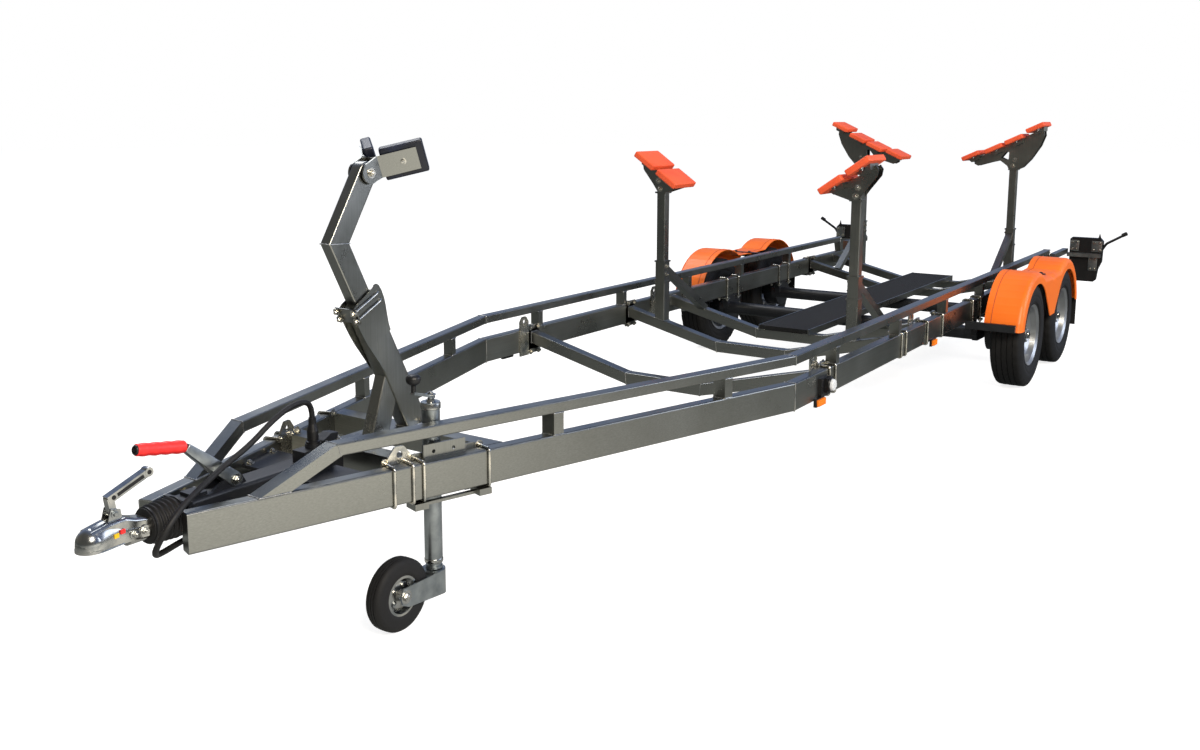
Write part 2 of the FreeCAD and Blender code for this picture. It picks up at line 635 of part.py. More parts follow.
def post_lower():
    """Raked post with its brace and the clamp that grips the upper tube."""
    foot, top, d = post_axis()
    cap = foot + d * ((CLAMP_Z - foot.z) / d.z)
    post = bar(tuple(foot - d * 60.0), tuple(cap), POST_W, POST_D)
    post = soften(post, 7.0, long_edge(350.0))
    b0, b1 = V(foot.x - 184.0, 0, foot.z), V(foot.x - 112.0, 0, foot.z + 205.0)
    bd = (b1 - b0).normalize()
    brace = bar(tuple(b0 - bd * 60.0), tuple(b1), POST_W - 10.0, 82.0)
    brace = soften(brace, 6.0, long_edge(150.0))
    floor = box(foot.x - 500.0, foot.x + 300.0, -200.0, 200.0, 300.0, foot.z)
    c0, c1 = cap - d * 34.0, cap + d * 22.0
    collar = bar(tuple(c0), tuple(c1), POST_W + 20.0, POST_D + 16.0)
    whole = fuse([post.cut(floor), brace.cut(floor), collar])
    s0, s1 = cap - d * 150.0, cap + d * 60.0
    return whole.cut(bar(tuple(s0), tuple(s1), ARM_W, ARM_D))


def post_upper():
    """Bent upper tube: it slides in the post and carries the bow stop on its top end."""
    foot, top, d = post_axis()
    start = foot + d * ((CLAMP_Z - foot.z) / d.z - 150.0)
    pivot = V(POST_TOP[0], 0, POST_TOP[1])
    e = (pivot - top).normalize()
    n = ARM_D / 2.0
    a, b = V(-d.z, 0, d.x), V(-e.z, 0, e.x)
    t = (a + b).normalize() * (n / (a + b).normalize().dot(a))
    pts = [start + a * n, top + t, pivot + b * n, pivot - b * n, top - t, start - a * n]
    arm = prism([(p.x, p.z) for p in pts], "y", -ARM_W / 2.0, ARM_W / 2.0)
    arm = fuse([arm, rod((pivot.x, -ARM_W / 2.0, pivot.z), (pivot.x, ARM_W / 2.0, pivot.z), n)])
    arm = soften(arm, 6.0, long_edge(150.0))
    return arm.cut(rod((pivot.x, -100.0, pivot.z), (pivot.x, 100.0, pivot.z), 10.0))


def bow_stop():
    """Vee bracket on the pivot pin, with one cushion on the inner side of each arm."""
    px, pz = POST_TOP
    parts = [rod((px, -46.0, pz), (px, 46.0, pz), 9.5)]
    arms, pads = [], []
    c, s = math.cos(math.radians(48.0)), math.sin(math.radians(48.0))
    y0, t = ARM_W / 2.0 + 6.0, 7.0
    x1 = px + ARM_D / 2.0 + 12.0
    for k in (-1, 1):
        a, b = sorted((k * y0, k * (y0 + t)))
        cheek = rod((px, a, pz), (px, b, pz), 36.0)
        cheek = cheek.fuse(prism([(px, pz - 34.0), (x1, pz - 34.0), (x1, pz + 42.0), (px + 4.0, pz + 36.0)],
                                 "y", a, b))
        pts = [(x1 - 8.0, k * y0), (x1 + 132.0 * c, k * (y0 + 132.0 * s)),
               (x1 + 132.0 * c - t * s, k * (y0 + 132.0 * s + t * c)), (x1 - 8.0, k * (y0 + t))]
        arms.append(prism(pts, "z", pz - 34.0, pz + 42.0))
        arms.append(cheek)
        u, v = V(c, k * s, 0), V(s, -k * c, 0)
        base = V(x1, k * y0, 0)
        corners = [base + u * 14.0, base + u * 152.0, base + u * 152.0 + v * 30.0, base + u * 34.0 + v * 30.0]
        pad = prism([(q.x, q.y) for q in corners], "z", pz - 42.0, pz + 50.0)
        pads.append(soften(pad, 7.0, lambda e: e.Length > 80.0))
    web = box(x1 - 6.0, x1, -y0, y0, pz - 34.0, pz + 36.0)
    bracket = fuse(parts + arms + [web])
    pads = [p.cut(bracket) for p in pads]
    for shape in [bracket] + pads:
        shape.rotate(V(px, 0, pz), V(0, 1, 0), -BOW_TILT)
    return bracket, pads


def jockey():
    """Outer tube with its clamp, cranked spindle, sliding leg, swivel fork and wheel."""
    x, y = JOCK_X, JOCK_Y
    shell = Part.makeCylinder(30.0, JOCK_TOP - 8.0 - JOCK_TUBE_Z, V(x, y, JOCK_TUBE_Z))
    shell = shell.cut(Part.makeCylinder(25.6, JOCK_TOP - 60.0 - JOCK_TUBE_Z + 5.0, V(x, y, JOCK_TUBE_Z - 5.0)))
    cap = Part.makeCylinder(32.0, 22.0, V(x, y, JOCK_TOP - 22.0))
    block = box(-38.0, 38.0, -31.0, 40.0, BEAM_Z0 + 38.0, BEAM_Z0 + 88.0)
    block.rotate(V(0, 0, 0), V(0, 0, 1), -math.degrees(SLOPE))
    block.translate(V(x, y, 0))
    block = block.cut(Part.makeCylinder(28.0, 300.0, V(x, y, BEAM_Z0 - 60.0)))
    spindle = Part.makeCylinder(9.0, 26.0, V(x, y, JOCK_TOP - 2.0))
    crank = bar((x + 12.0, y, JOCK_TOP + 14.0), (x - 84.0, y, JOCK_TOP + 44.0), 20.0, 9.0)
    outer = fuse([shell, cap, spindle, crank, block])
    neck = Part.makeCylinder(8.0, 34.0, V(x - 78.0, y, JOCK_TOP + 46.0))
    knob = Part.makeCylinder(25.0, 32.0, V(x - 78.0, y, JOCK_TOP + 72.0))
    knob = soften(knob, 10.0, lambda e: e.Length > 100.0)
    knob = fuse([neck, knob]).cut(outer)
    leg = Part.makeCylinder(25.0, 330.0, V(x, y, FORK_TOP + 3.0))
    leg = fuse([leg, Part.makeCylinder(29.0, 8.0, V(x, y, FORK_TOP + 3.0))])
    leg = leg.cut(Part.makeCylinder(9.0, 26.0, V(x, y, FORK_TOP - 4.0)))
    wx = x - JOCK_TRAIL
    side = [(x + 60.0, FORK_TOP), (x + 60.0, 62.0), (wx + 12.0, JOCK_R - 38.0), (wx - 16.0, JOCK_R - 24.0),
            (wx - 24.0, JOCK_R + 2.0), (wx - 10.0, JOCK_R + 32.0), (x - 24.0, FORK_TOP)]
    hoop = box(wx - 30.0, x - 4.0, y - 41.0, y + 41.0, 60.0, FORK_TOP)
    hoop = hoop.fuse(Part.makeCylinder(41.0, FORK_TOP - 60.0, V(x - 4.0, y, 60.0)))
    hoop = hoop.cut(box(wx - 40.0, x - 4.0, y - 36.0, y + 36.0, 50.0, FORK_TOP + 10.0))
    hoop = hoop.cut(Part.makeCylinder(36.0, FORK_TOP, V(x - 4.0, y, 50.0)))
    hoop = hoop.common(prism(side, "y", y - 60.0, y + 60.0))
    crown = box(x - 26.0, x - 4.0, y - 41.0, y + 41.0, FORK_TOP - 8.0, FORK_TOP)
    crown = crown.fuse(Part.makeCylinder(41.0, 8.0, V(x - 4.0, y, FORK_TOP - 8.0)))
    king = Part.makeCylinder(8.5, 24.0, V(x, y, FORK_TOP - 4.0))
    pin = rod((wx, y - 48.0, JOCK_R), (wx, y + 48.0, JOCK_R), 8.5)
    fork = fuse([hoop, crown, king, pin])
    prof = [(64.0, -26.0), (80.0, -31.0), (102.0, -31.0), (114.0, -24.0), (JOCK_R, -13.0),
            (JOCK_R, 13.0), (114.0, 24.0), (102.0, 31.0), (80.0, 31.0), (64.0, 26.0)]
    wheel = spin_y(prof, (wx, y, JOCK_R))
    hub = spin_y([(9.0, -32.0), (17.0, -32.0), (20.0, -16.0), (44.0, -12.0), (58.0, -28.0), (67.0, -27.0),
                  (64.0, -26.0), (64.0, 26.0), (67.0, 27.0), (58.0, 28.0), (44.0, 12.0), (20.0, 16.0),
                  (17.0, 32.0), (9.0, 32.0)], (wx, y, JOCK_R))
    return outer, knob, leg, fork, wheel.cut(hub), hub


def jockey_bracket():
    """Clamp plates and angles that carry the jockey tube on the inner face of the beam."""
    start = JOCK_X - 110.0
    span = 222.0 / math.cos(SLOPE)
    y0 = BEAM_W
    pieces = [box(-4.0, 38.0, y0, y0 + 6.0, BEAM_Z0 - 20.0, BEAM_Z1 + 20.0),
              box(span - 38.0, span + 4.0, y0, y0 + 6.0, BEAM_Z0 - 20.0, BEAM_Z1 + 20.0),
              box(-4.0, span + 4.0, y0, y0 + 3.0, BEAM_Z0 + 30.0, BEAM_Z0 + 90.0),
              box(30.0, span - 44.0, 28.0, y0 + 3.0, BEAM_Z1, BEAM_Z1 + 6.0),
              box(30.0, span - 44.0, 34.0, 42.0, BEAM_Z1, BEAM_Z1 + 48.0),
              box(30.0, span - 44.0, y0, y0 + 3.0, BEAM_Z0 + 30.0, BEAM_Z1 + 6.0),
              box(-25.0, 25.0, -4.0, y0 + 6.0, BEAM_Z0 - 32.0, BEAM_Z0 - 10.0),
              box(span - 14.0, span + 34.0, -4.0, y0 + 6.0, BEAM_Z0 - 32.0, BEAM_Z0 - 10.0),
              box(24.0, span - 10.0, 18.0, 36.0, BEAM_Z0 - 28.0, BEAM_Z0 - 18.0)]
    plate = fuse(pieces)
    for s in (68.0, 143.0):
        plate = plate.cut(rod((s, 0.0, BEAM_Z1 + 22.0), (s, 100.0, BEAM_Z1 + 22.0), 6.5))
    return on_beam(plate, start)


def loop(inner_plate=8.0):
    """Square shackle round a beam: it passes over, down the outer face and under."""
    r = 5.0
    y1 = BEAM_W + inner_plate + 14.0
    return tube([(0, y1, BEAM_Z1 + r), (0, -r, BEAM_Z1 + r), (0, -r, BEAM_Z0 - r), (0, y1, BEAM_Z0 - r)],
                11.0, r)


def saddle_bolt():
    """Inverted U bolt over a beam with the strap and the nuts below the axle pad."""
    r = 6.0
    low = BEAM_Z0 - 34.0
    bow = tube([(0, -r, low), (0, -r, BEAM_Z1 + r), (0, BEAM_W + r, BEAM_Z1 + r), (0, BEAM_W + r, low)], 12.0, r)
    parts = [bow, box(-15.0, 15.0, -20.0, BEAM_W + 20.0, BEAM_Z0 - 18.0, BEAM_Z0 - 10.0)]
    for y in (-r, BEAM_W + r):
        parts.append(Part.makeCylinder(10.0, 9.0, V(0, y, BEAM_Z0 - 27.0)))
    return fuse(parts)


def eye_plate(half=36.0, eye_z=EYE_Z, over=25.0):
    """Lashing plate on the inner face of a beam, its eye above the beam."""
    y0 = BEAM_W
    top = eye_z + over
    shoulder = top - (half - 16.0) * 1.3
    plate = prism([(-half, BEAM_Z0 - 18.0), (half, BEAM_Z0 - 18.0), (half, shoulder), (16.0, top),
                   (-16.0, top), (-half, shoulder)], "y", y0, y0 + 8.0)
    plate = soften(plate, 9.0, lambda e: e.BoundBox.ZMin > BEAM_Z1 + 5.0 and e.BoundBox.YLength > 7.0
                   and e.BoundBox.ZLength < 1.0)
    return plate.cut(rod((0, 0, eye_z), (0, 100.0, eye_z), EYE_R))


def strap():
    y0 = BEAM_W
    return box(-24.0, 24.0, y0, y0 + 8.0, BEAM_Z0 - 18.0, BEAM_Z1 + 18.0)


def clamps():
    """Shackles, lashing plates and axle bolts of a left beam, from front to rear."""
    rods = [on_beam(loop(), s) for s in (FRONT_EYE_S - 46.0, FRONT_EYE_S + 18.0, JOCK_X - 101.0,
                                         JOCK_X + 136.0)]
    plates = [on_beam(eye_plate(42.0, FRONT_EYE_Z, 27.0), FRONT_EYE_S)]
    stations = [CM_X[0] - 34.0, CM_X[0] + 34.0, CM_X[1] - 34.0, CM_X[1] + 34.0, CM_X[2] - 132.0,
                CM_X[2] + 140.0, CM_X[3] - 34.0, CM_X[3] + 34.0]
    for x in stations:
        rods.append(beside(loop(), x))
    for x in (CM_X[2] - 132.0, CM_X[2] + 140.0):
        plates.append(beside(strap(), x))
    for x in (CM_X[0] - 88.0, CM_X[2] - 250.0):
        plates.append(beside(eye_plate(), x))
    for x in AXLE_X:
        for s in (-85.0, 85.0):
            rods.append(beside(saddle_bolt(), x - TUBE_BACK + s))
    whole = Part.makeCompound(rods)
    plates = [p.cut(whole) for p in plates]
    return [s for p in plates for s in p.Solids] + rods


def hull_head(pads, tilt, outline, holes):
    """Side plates, cradles and cushions of one right hand post head, about X zero."""
    a = math.radians(tilt)
    u, n = V(0, math.cos(a), math.sin(a)), V(0, -math.sin(a), math.cos(a))
    plates = []
    for x in (-38.0, 30.0):
        plate = prism(outline, "x", x, x + 8.0)
        for h in holes:
            plate = plate.cut(prism(h, "x", x - 5.0, x + 20.0))
        plates.append(plate)
    cradles, cushions = [], []
    for y, z in pads:
        c = V(0, y, z)
        for (w, lo, hi, lx, bag) in ((56.0, -46.0, -17.5, 60.0, cradles), (60.0, -17.5, 17.5, 118.0, cushions)):
            pts = [c + u * (-w) + n * lo, c + u * w + n * lo, c + u * w + n * hi, c + u * (-w) + n * hi]
            if bag is cradles:
                pts = [c + u * (-30.0) + n * lo, c + u * 30.0 + n * lo, c + u * 44.0 + n * hi,
                       c + u * (-44.0) + n * hi]
            block = prism([(q.y, q.z) for q in pts], "x", -lx, lx)
            if bag is cushions:
                block = soften(block, 9.0, lambda e: True)
            bag.append(block)
    return plates, cradles, cushions


def hull_posts(x, brace_x, head_z, reach, pads, tilt, outline, holes):
    """One right hand hull post with its brace and head, plus its cushions."""
    y = HULL_Y
    h = POST_TUBE / 2.0
    foot = prism([(y - h, cross_top(y - h)), (y + h, cross_top(y + h)), (y + h, SLEEVE_Z), (y - h, SLEEVE_Z)],
                 "x", x - h, x + h)
    foot = soften(foot, 5.0, lambda e: e.BoundBox.ZLength > 180.0)
    top_z = SLEEVE_Z + 120.0
    s, m, c = h - 2.0, h - 5.0, h + 3.0
    sleeve = box(x - s, x + s, y - s, y + s, SLEEVE_Z, top_z)
    mast = box(x - m, x + m, y - m, y + m, top_z, head_z + 60.0)
    mast = soften(mast, 5.0, long_edge(200.0))
    bands = [box(x - c, x + c, y - c, y + c, z, z + 10.0) for z in (SLEEVE_Z - 5.0, top_z - 5.0, head_z - 4.0)]
    d = 1.0 if brace_x > x else -1.0
    brace = bar((x + d * 20.0, y, SLEEVE_Z + 74.0), (brace_x, y, cross_top(y) - 8.0), 46.0, 40.0)
    brace = brace.cut(cross_member(brace_x))
    brace = brace.cut(box(brace_x - 400.0, brace_x + 400.0, 0.0, 900.0, 200.0, cross_top(y) - 30.0))
    brace = max(brace.Solids, key=lambda q: q.Volume)
    plates, cradles, cushions = hull_head(pads, tilt, outline, holes)
    for q in plates:
        q.translate(V(x, 0, 0))
    for q in cradles + cushions:
        q.translate(V(x - reach, 0, 0))
    steel = fuse([foot, sleeve, mast, brace] + bands + plates + cradles)
    return cut(steel, cushions), cushions


def side_lamps():
    """Front marker lamp on its black bracket and two amber side reflectors."""
    y = -HALF
    x, x2 = LAMP_X, CM_X[2] - 36.0
    plate = box(x - 66.0, x + 36.0, y - 14.0, y, BEAM_Z0 + 8.0, BEAM_Z0 + 92.0)
    foot = box(x - 32.0, x + 32.0, y - 26.0, y - 14.0, BEAM_Z0 + 24.0, BEAM_Z0 + 88.0)
    lamp = soften(rod((x, y - 26.0, BEAM_Z0 + 57.0), (x, y - 46.0, BEAM_Z0 + 57.0), 27.0), 6.0,
                  lambda e: e.BoundBox.YMax < y - 40.0)
    under = box(x - 118.0, x - 30.0, y - 14.0, y, BEAM_Z0 - 26.0, BEAM_Z0 + 10.0)
    amber = box(x - 112.0, x - 36.0, y - 24.0, y - 14.0, BEAM_Z0 - 22.0, BEAM_Z0 + 6.0)
    seat2 = box(x2 - 40.0, x2 + 40.0, y - 12.0, y, BEAM_Z0 - 26.0, BEAM_Z0 + 12.0)
    amber2 = box(x2 - 33.0, x2 + 33.0, y - 22.0, y - 12.0, BEAM_Z0 - 22.0, BEAM_Z0 + 8.0)
    return [fuse([plate, foot, under]), seat2], [lamp, amber, amber2]


def tail_board():
    """Lamp carrier behind the left wheel: arm on the beam end, cross bar, case and flag arm."""
    x, e = TAIL_X, BEAM_END
    bar_z, top, low = TAIL_TOP - 138.0, TAIL_TOP, TAIL_TOP - 352.0
    y0, y1 = TAIL_OUT, TAIL_IN
    arm_z = BEAM_Z1 + 68.0
    parts = [box(e, e + 40.0, -HALF, -HALF + 40.0, BEAM_Z0, arm_z),
             box(e, x, -HALF, -HALF + 40.0, arm_z - 40.0, arm_z),
             box(x - 40.0, x, -y0 + 10.0, -HALF, bar_z - 15.0, bar_z + 15.0)]
    case = prism([(-y0, top - 24.0), (-y0 + 22.0, top), (-y1 - 14.0, top), (-y1, top - 14.0),
                  (-y1, low + 24.0), (-y1 - 14.0, low), (-y0 + 56.0, low), (-y0 + 40.0, low + 16.0),
                  (-y0 + 30.0, low + 100.0), (-y0 + 4.0, low + 164.0)], "x", x, x + TAIL_DEEP)
    plates = [box(x - 6.0, x, -y0 + 4.0, -y0 + 82.0, top - 110.0, top - 22.0),
              box(x - 6.0, x, -y1 - 70.0, -y1 - 4.0, top - 110.0, top - 22.0),
              box(x - 6.0, x, -y0 + 34.0, -y0 + 100.0, top - 262.0, bar_z - 15.0)]
    horn = tube([(x + 30.0, -y0 + 16.0, top - 104.0), (x + 30.0, -y0 - 20.0, top - 42.0),
                 (x + 40.0, -y0 - 132.0, top + 26.0)], [60.0], 10.0)
    steel = fuse(parts + plates + [case, horn])
    lens = box(x + TAIL_DEEP, x + TAIL_DEEP + 20.0, -y0 + 48.0, -y1 - 12.0, low + 34.0, low + 150.0)
    flag = soften(rod((x + 40.0, -y0 - 128.0, top + 28.0), (x + 40.0, -y0 - 164.0, top + 48.0), 15.0), 4.0,
                  lambda q: q.Length > 60.0)
    return steel, [lens, flag.cut(steel)]


def build():
    beam = side_beam()
    save("side_beam_left", beam)
    save("side_beam_right", flip(beam))
    rail = guard_rail()
    save("guard_rail_left", rail)
    save("guard_rail_right", flip(rail))
    for i, x in enumerate(CM_X):
        save("cross_member_%d" % (i + 1), cross_member(x))
    ring = clamps()
    save("beam_clamps_left", ring)
    save("beam_clamps_right", [flip(s) for s in ring])
    clamp_plate = cut(jockey_bracket(), ring)
    save("jockey_bracket", clamp_plate)
    save("post_base", cut(post_base(), [clamp_plate] + ring[:4] + [flip(s) for s in ring[:4]]))
    for name, x in (("front", AXLE_X[0]), ("rear", AXLE_X[1])):
        save("axle_%s" % name, axle(x))
        for side, s in (("left", -1), ("right", 1)):
            save("tyre_%s_%s" % (name, side), tyre(x, s * TYRE_MID))
            save("rim_%s_%s" % (name, side), rim(x, s * TYRE_MID, s))
    left = fender(-1)
    save("fender_left", left)
    save("fender_right", flip(left))
    stays = fender_stays(left)
    save("fender_stays_left", stays)
    save("fender_stays_right", [flip(s) for s in stays])
    save("mud_flap_left", mud_flap())
    save("mud_flap_right", flip(mud_flap()))
    deck, frame = walkway()
    save("walkway_deck", deck)
    save("walkway_frame", frame)
    save("overrun_housing", housing())
    save("drawbar_bellows", bellows())
    save("coupling_head", coupling())
    save("plug_cable", cable())
    save("trailer_plug", plug())
    save("brake_lever", brake_lever())
    save("brake_grip", brake_grip())
    save("winch_post_lower", post_lower())
    save("winch_post_upper", post_upper())
    bracket, pads = bow_stop()
    save("bow_stop_bracket", bracket)
    save("bow_stop_pads", pads)
    outer, knob, leg, fork, tread, hub = jockey()
    save("jockey_tube", outer)
    save("jockey_knob", knob)
    save("jockey_leg", leg)
    save("jockey_fork", fork)
    save("jockey_tyre", tread)
    save("jockey_rim", hub)
    steel_f, soft_f = hull_posts(CM_X[1], CM_X[2], FRONT_HEAD_Z, 30.0, FRONT_PADS, FRONT_TILT, FRONT_PLATE, [])
    steel_r, soft_r = hull_posts(CM_X[4], CM_X[3], REAR_HEAD_Z, 24.0, REAR_PADS, REAR_TILT, REAR_PLATE,
                                 [REAR_GAP])
    save("hull_posts_front", [flip(steel_f), steel_f])
    save("hull_posts_rear", [flip(steel_r), steel_r])
    save("hull_pads_front", [flip(s) for s in soft_f] + soft_f)
    save("hull_pads_rear", [flip(s) for s in soft_r] + soft_r)
    black, lamps = side_lamps()
    save("lamp_seats_left", black)
    save("lamp_seats_right", [flip(s) for s in black])
    save("side_lamps_left", lamps)
    save("side_lamps_right", [flip(s) for s in lamps])
    steel, lens = tail_board()
    save("tail_board_left", steel)
    save("tail_board_right", flip(steel))
    save("tail_lamps_left", lens)
    save("tail_lamps_right", [flip(s) for s in lens])


build()
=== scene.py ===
# %% [markdown]
# # A boat trailer in stainless steel
# The trailer comes packed from its CAD source, and this lesson gives it its looks. A real
# one is folded and welded stainless sheet, galvanised fittings, moulded plastic and rubber.
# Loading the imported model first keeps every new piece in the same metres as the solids.

# %% Load the frame
import math

import bmesh
import bpy
from mathutils import Matrix, Vector


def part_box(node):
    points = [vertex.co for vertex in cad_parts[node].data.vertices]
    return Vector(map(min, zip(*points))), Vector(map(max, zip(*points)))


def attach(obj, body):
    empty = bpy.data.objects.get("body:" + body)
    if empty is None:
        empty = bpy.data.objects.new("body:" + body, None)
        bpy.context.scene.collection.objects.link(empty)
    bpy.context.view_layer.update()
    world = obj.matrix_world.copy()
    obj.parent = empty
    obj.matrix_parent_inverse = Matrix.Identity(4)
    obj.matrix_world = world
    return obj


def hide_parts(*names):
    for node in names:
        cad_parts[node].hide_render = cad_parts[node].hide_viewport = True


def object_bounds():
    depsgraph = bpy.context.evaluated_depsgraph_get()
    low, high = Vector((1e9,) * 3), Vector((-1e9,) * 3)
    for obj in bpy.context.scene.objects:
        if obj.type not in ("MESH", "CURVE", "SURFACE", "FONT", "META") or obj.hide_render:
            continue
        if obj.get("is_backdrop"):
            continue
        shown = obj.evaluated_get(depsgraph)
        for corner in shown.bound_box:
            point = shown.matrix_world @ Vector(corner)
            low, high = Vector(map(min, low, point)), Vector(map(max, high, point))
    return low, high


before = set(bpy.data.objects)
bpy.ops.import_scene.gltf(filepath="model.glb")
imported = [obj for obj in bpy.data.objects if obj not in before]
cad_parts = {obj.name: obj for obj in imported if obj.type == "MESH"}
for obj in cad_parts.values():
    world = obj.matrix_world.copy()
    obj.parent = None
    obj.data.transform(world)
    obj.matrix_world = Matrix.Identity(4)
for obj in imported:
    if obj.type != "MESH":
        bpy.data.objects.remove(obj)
cad_low, cad_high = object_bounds()

# %% [markdown]
# The drawing counts millimetres from the front end of the side beams, and the coupling's
# lip stands 261 mm ahead of them. One small function turns a drawing point into the
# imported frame's metres, so that each number below can be read on the drawing. Left is
# minus Y and right is plus Y, and most fittings are made once for each side.

# %% Points of the drawing
LIP_AHEAD = 0.261
BEAM_FRONT = cad_low.x + LIP_AHEAD
SIDES = (("left", -1), ("right", 1))


def at(x, y, z):
    """A point of the drawing, in the frame's metres."""
    return Vector((BEAM_FRONT + x / 1000, y / 1000, z / 1000))


def rectangle(a0, a1, b0, b1):
    """Four corners in order, as pairs that each caller lays on its own plane."""
    return [(a0, b0), (a1, b0), (a1, b1), (a0, b1)]


print("beams start at x", round(BEAM_FRONT, 4))

# %% [markdown]
# ## Camera
# The photograph was taken from ahead of the coupling and to its left, at eye height. A
# camera solved from the beams' corners gives its place, its turn and its lens. The picture
# was cropped afterwards, and a small lens shift repeats that crop.

# %% Camera
SENSOR_MM, LENS_MM = 36, 33.023
CROP_RIGHT, CROP_DOWN = 0.01382, -0.06961
EYE = (-1782.7, -2690.0, 1624.8)
LOOKS_DOWN, TURNED_RIGHT = 8.7217, 55.2955
camera_data = bpy.data.cameras.new("camera")
camera_data.sensor_width = SENSOR_MM
camera_data.lens = LENS_MM
camera_data.shift_x = CROP_RIGHT
camera_data.shift_y = CROP_DOWN
camera = bpy.data.objects.new("camera", camera_data)
camera.location = at(*EYE)
camera.rotation_euler = (math.radians(90 - LOOKS_DOWN), 0, math.radians(-TURNED_RIGHT))
bpy.context.scene.collection.objects.link(camera)
bpy.context.scene.camera = camera
print("camera at", [round(v, 3) for v in camera.location])

# %% [markdown]
# ## Colour
# A colour given here is an sRGB number, and the renderer works with linear light. One
# function turns the first into the second, so that every finish below is written as the
# hex value a painter would match.

# %% sRGB to linear
def linear(hex_colour):
    parts = [int(hex_colour[i:i + 2], 16) / 255 for i in (1, 3, 5)]
    parts = [p / 12.92 if p <= 0.04045 else ((p + 0.055) / 1.055) ** 2.4 for p in parts]
    return (*parts, 1.0)


print("mid grey", [round(v, 3) for v in linear("#808080")])

# %% [markdown]
# ## A node with its links
# Materials here are small node trees. Clicking them together by hand is slow to repeat,
# so one function adds a node, sets its options, links or fills its inputs, and sends its
# first output on. A colour ramp also takes its stops, each a position and a hex colour.

# %% Add a node
def add(tree, kind, sockets=None, into=None, stops=(), **settings):
    made = tree.nodes.new(kind)
    for name, value in settings.items():
        setattr(made, name, value)
    for name, value in (sockets or {}).items():
        if isinstance(value, bpy.types.NodeSocket):
            tree.links.new(value, made.inputs[name])
        else:
            made.inputs[name].default_value = value
    for i, (position, colour) in enumerate(stops):
        ramp = made.color_ramp.elements
        stop = ramp[i] if i < 2 else ramp.new(position)
        stop.position, stop.color = position, linear(colour)
    if into is not None:
        tree.links.new(made.outputs[0], into)
    return made


def start_finish(name, colour, metallic, roughness, **shader_sockets):
    """A material with one Principled shader, ready for its pattern."""
    finish = bpy.data.materials.new(name)
    finish.use_nodes = True
    tree = finish.node_tree
    shader = tree.nodes["Principled BSDF"]
    shader.inputs["Base Color"].default_value = linear(colour)
    shader.inputs["Metallic"].default_value = metallic
    shader.inputs["Roughness"].default_value = roughness
    for socket, value in shader_sockets.items():
        shader.inputs[socket.replace("_", " ")].default_value = value
    place = add(tree, "ShaderNodeTexCoord").outputs["Object"]
    return finish, tree, shader, place


def per_metre(millimetres):
    """Noise scale, in cells per metre, for a pattern of that real size."""
    return 1000 / millimetres


print("a 4 mm pattern has scale", per_metre(4))

# %% [markdown]
# ## Brushed stainless steel
# The beams, rails, posts and cross members are folded 304 stainless sheet. A belt grinder
# leaves a fine satin grain along each tube, and handling leaves soft cloudy patches. A flat
# grey would read as paint. Noise stretched along the tube gives the grain, a broad noise
# gives the clouds, and the metal keeps the default IOR. Real grain is about 0.3 mm wide,
# too fine for this picture, so it is drawn 3 mm wide and 700 mm long.

# %% Brushed stainless, one material per grain direction
GRAIN_WIDE, GRAIN_LONG, CLOUD = 3.0, 700.0, 260.0
GRAIN_DEEP = 0.02


def brushed_stainless(direction):
    finish, tree, shader, place = start_finish(
        "brushed_stainless_along_" + direction, "#8C8A86", 1.0, 0.34)
    scale = [per_metre(GRAIN_LONG if axis == direction else GRAIN_WIDE) for axis in "xyz"]
    stretched = add(tree, "ShaderNodeMapping", {"Vector": place, "Scale": scale})
    grain = add(tree, "ShaderNodeTexNoise", {"Vector": stretched.outputs[0], "Scale": 1.0,
                                             "Detail": 3.0, "Roughness": 0.6}).outputs["Fac"]
    clouds = add(tree, "ShaderNodeTexNoise", {"Vector": place, "Scale": per_metre(CLOUD),
                                              "Detail": 5.0, "Roughness": 0.62}).outputs["Fac"]
    both = add(tree, "ShaderNodeMath", {0: grain, 1: clouds, 2: 0.25}, operation="MULTIPLY_ADD")
    add(tree, "ShaderNodeValToRGB", {"Fac": both.outputs[0]}, shader.inputs["Base Color"],
        stops=[(0.3, "#81827E"), (0.75, "#9C9D98")])
    add(tree, "ShaderNodeMapRange", {"Value": clouds, "From Min": 0.3, "From Max": 0.7,
                                     "To Min": 0.24, "To Max": 0.38}, shader.inputs["Roughness"])
    add(tree, "ShaderNodeBump", {"Height": grain, "Distance": GRAIN_DEEP / 1000, "Strength": 0.4},
        shader.inputs["Normal"])
    return finish


stainless = {direction: brushed_stainless(direction) for direction in "xyz"}
print("made", [m.name for m in stainless.values()])

# %% [markdown]
# ## Zinc plated and galvanised steel
# The coupling and the jockey wheel are steel with a zinc coat, and the shackles, bolts and
# welds are bright steel that looks much like it. Bright zinc is electroplated and smooth.
# Hot dip galvanising is duller, with a crystal spangle that a Voronoi texture draws well.
# Its crystals are a few millimetres across, too fine to show here, so they are drawn 9 mm
# wide. A broad noise greys the places where hands and dirt go.

# %% Zinc and bright steel finishes
WORN_ZINC, ZINC_WEAR = "#7E8488", 60.0


def zinc(name, colour, spangle, roughness, spread):
    finish, tree, shader, place = start_finish(name, colour, 1.0, roughness)
    cells = add(tree, "ShaderNodeTexVoronoi", {"Vector": place, "Scale": per_metre(spangle)})
    grey = add(tree, "ShaderNodeSeparateColor", {"Color": cells.outputs["Color"]})
    add(tree, "ShaderNodeMapRange", {"Value": grey.outputs["Red"], "To Min": roughness - spread,
                                     "To Max": roughness + spread}, shader.inputs["Roughness"])
    wear = add(tree, "ShaderNodeTexNoise", {"Vector": place, "Scale": per_metre(ZINC_WEAR),
                                            "Detail": 4.0})
    add(tree, "ShaderNodeValToRGB", {"Fac": wear.outputs["Fac"]}, shader.inputs["Base Color"],
        stops=[(0.28, WORN_ZINC), (0.62, colour)])
    return finish


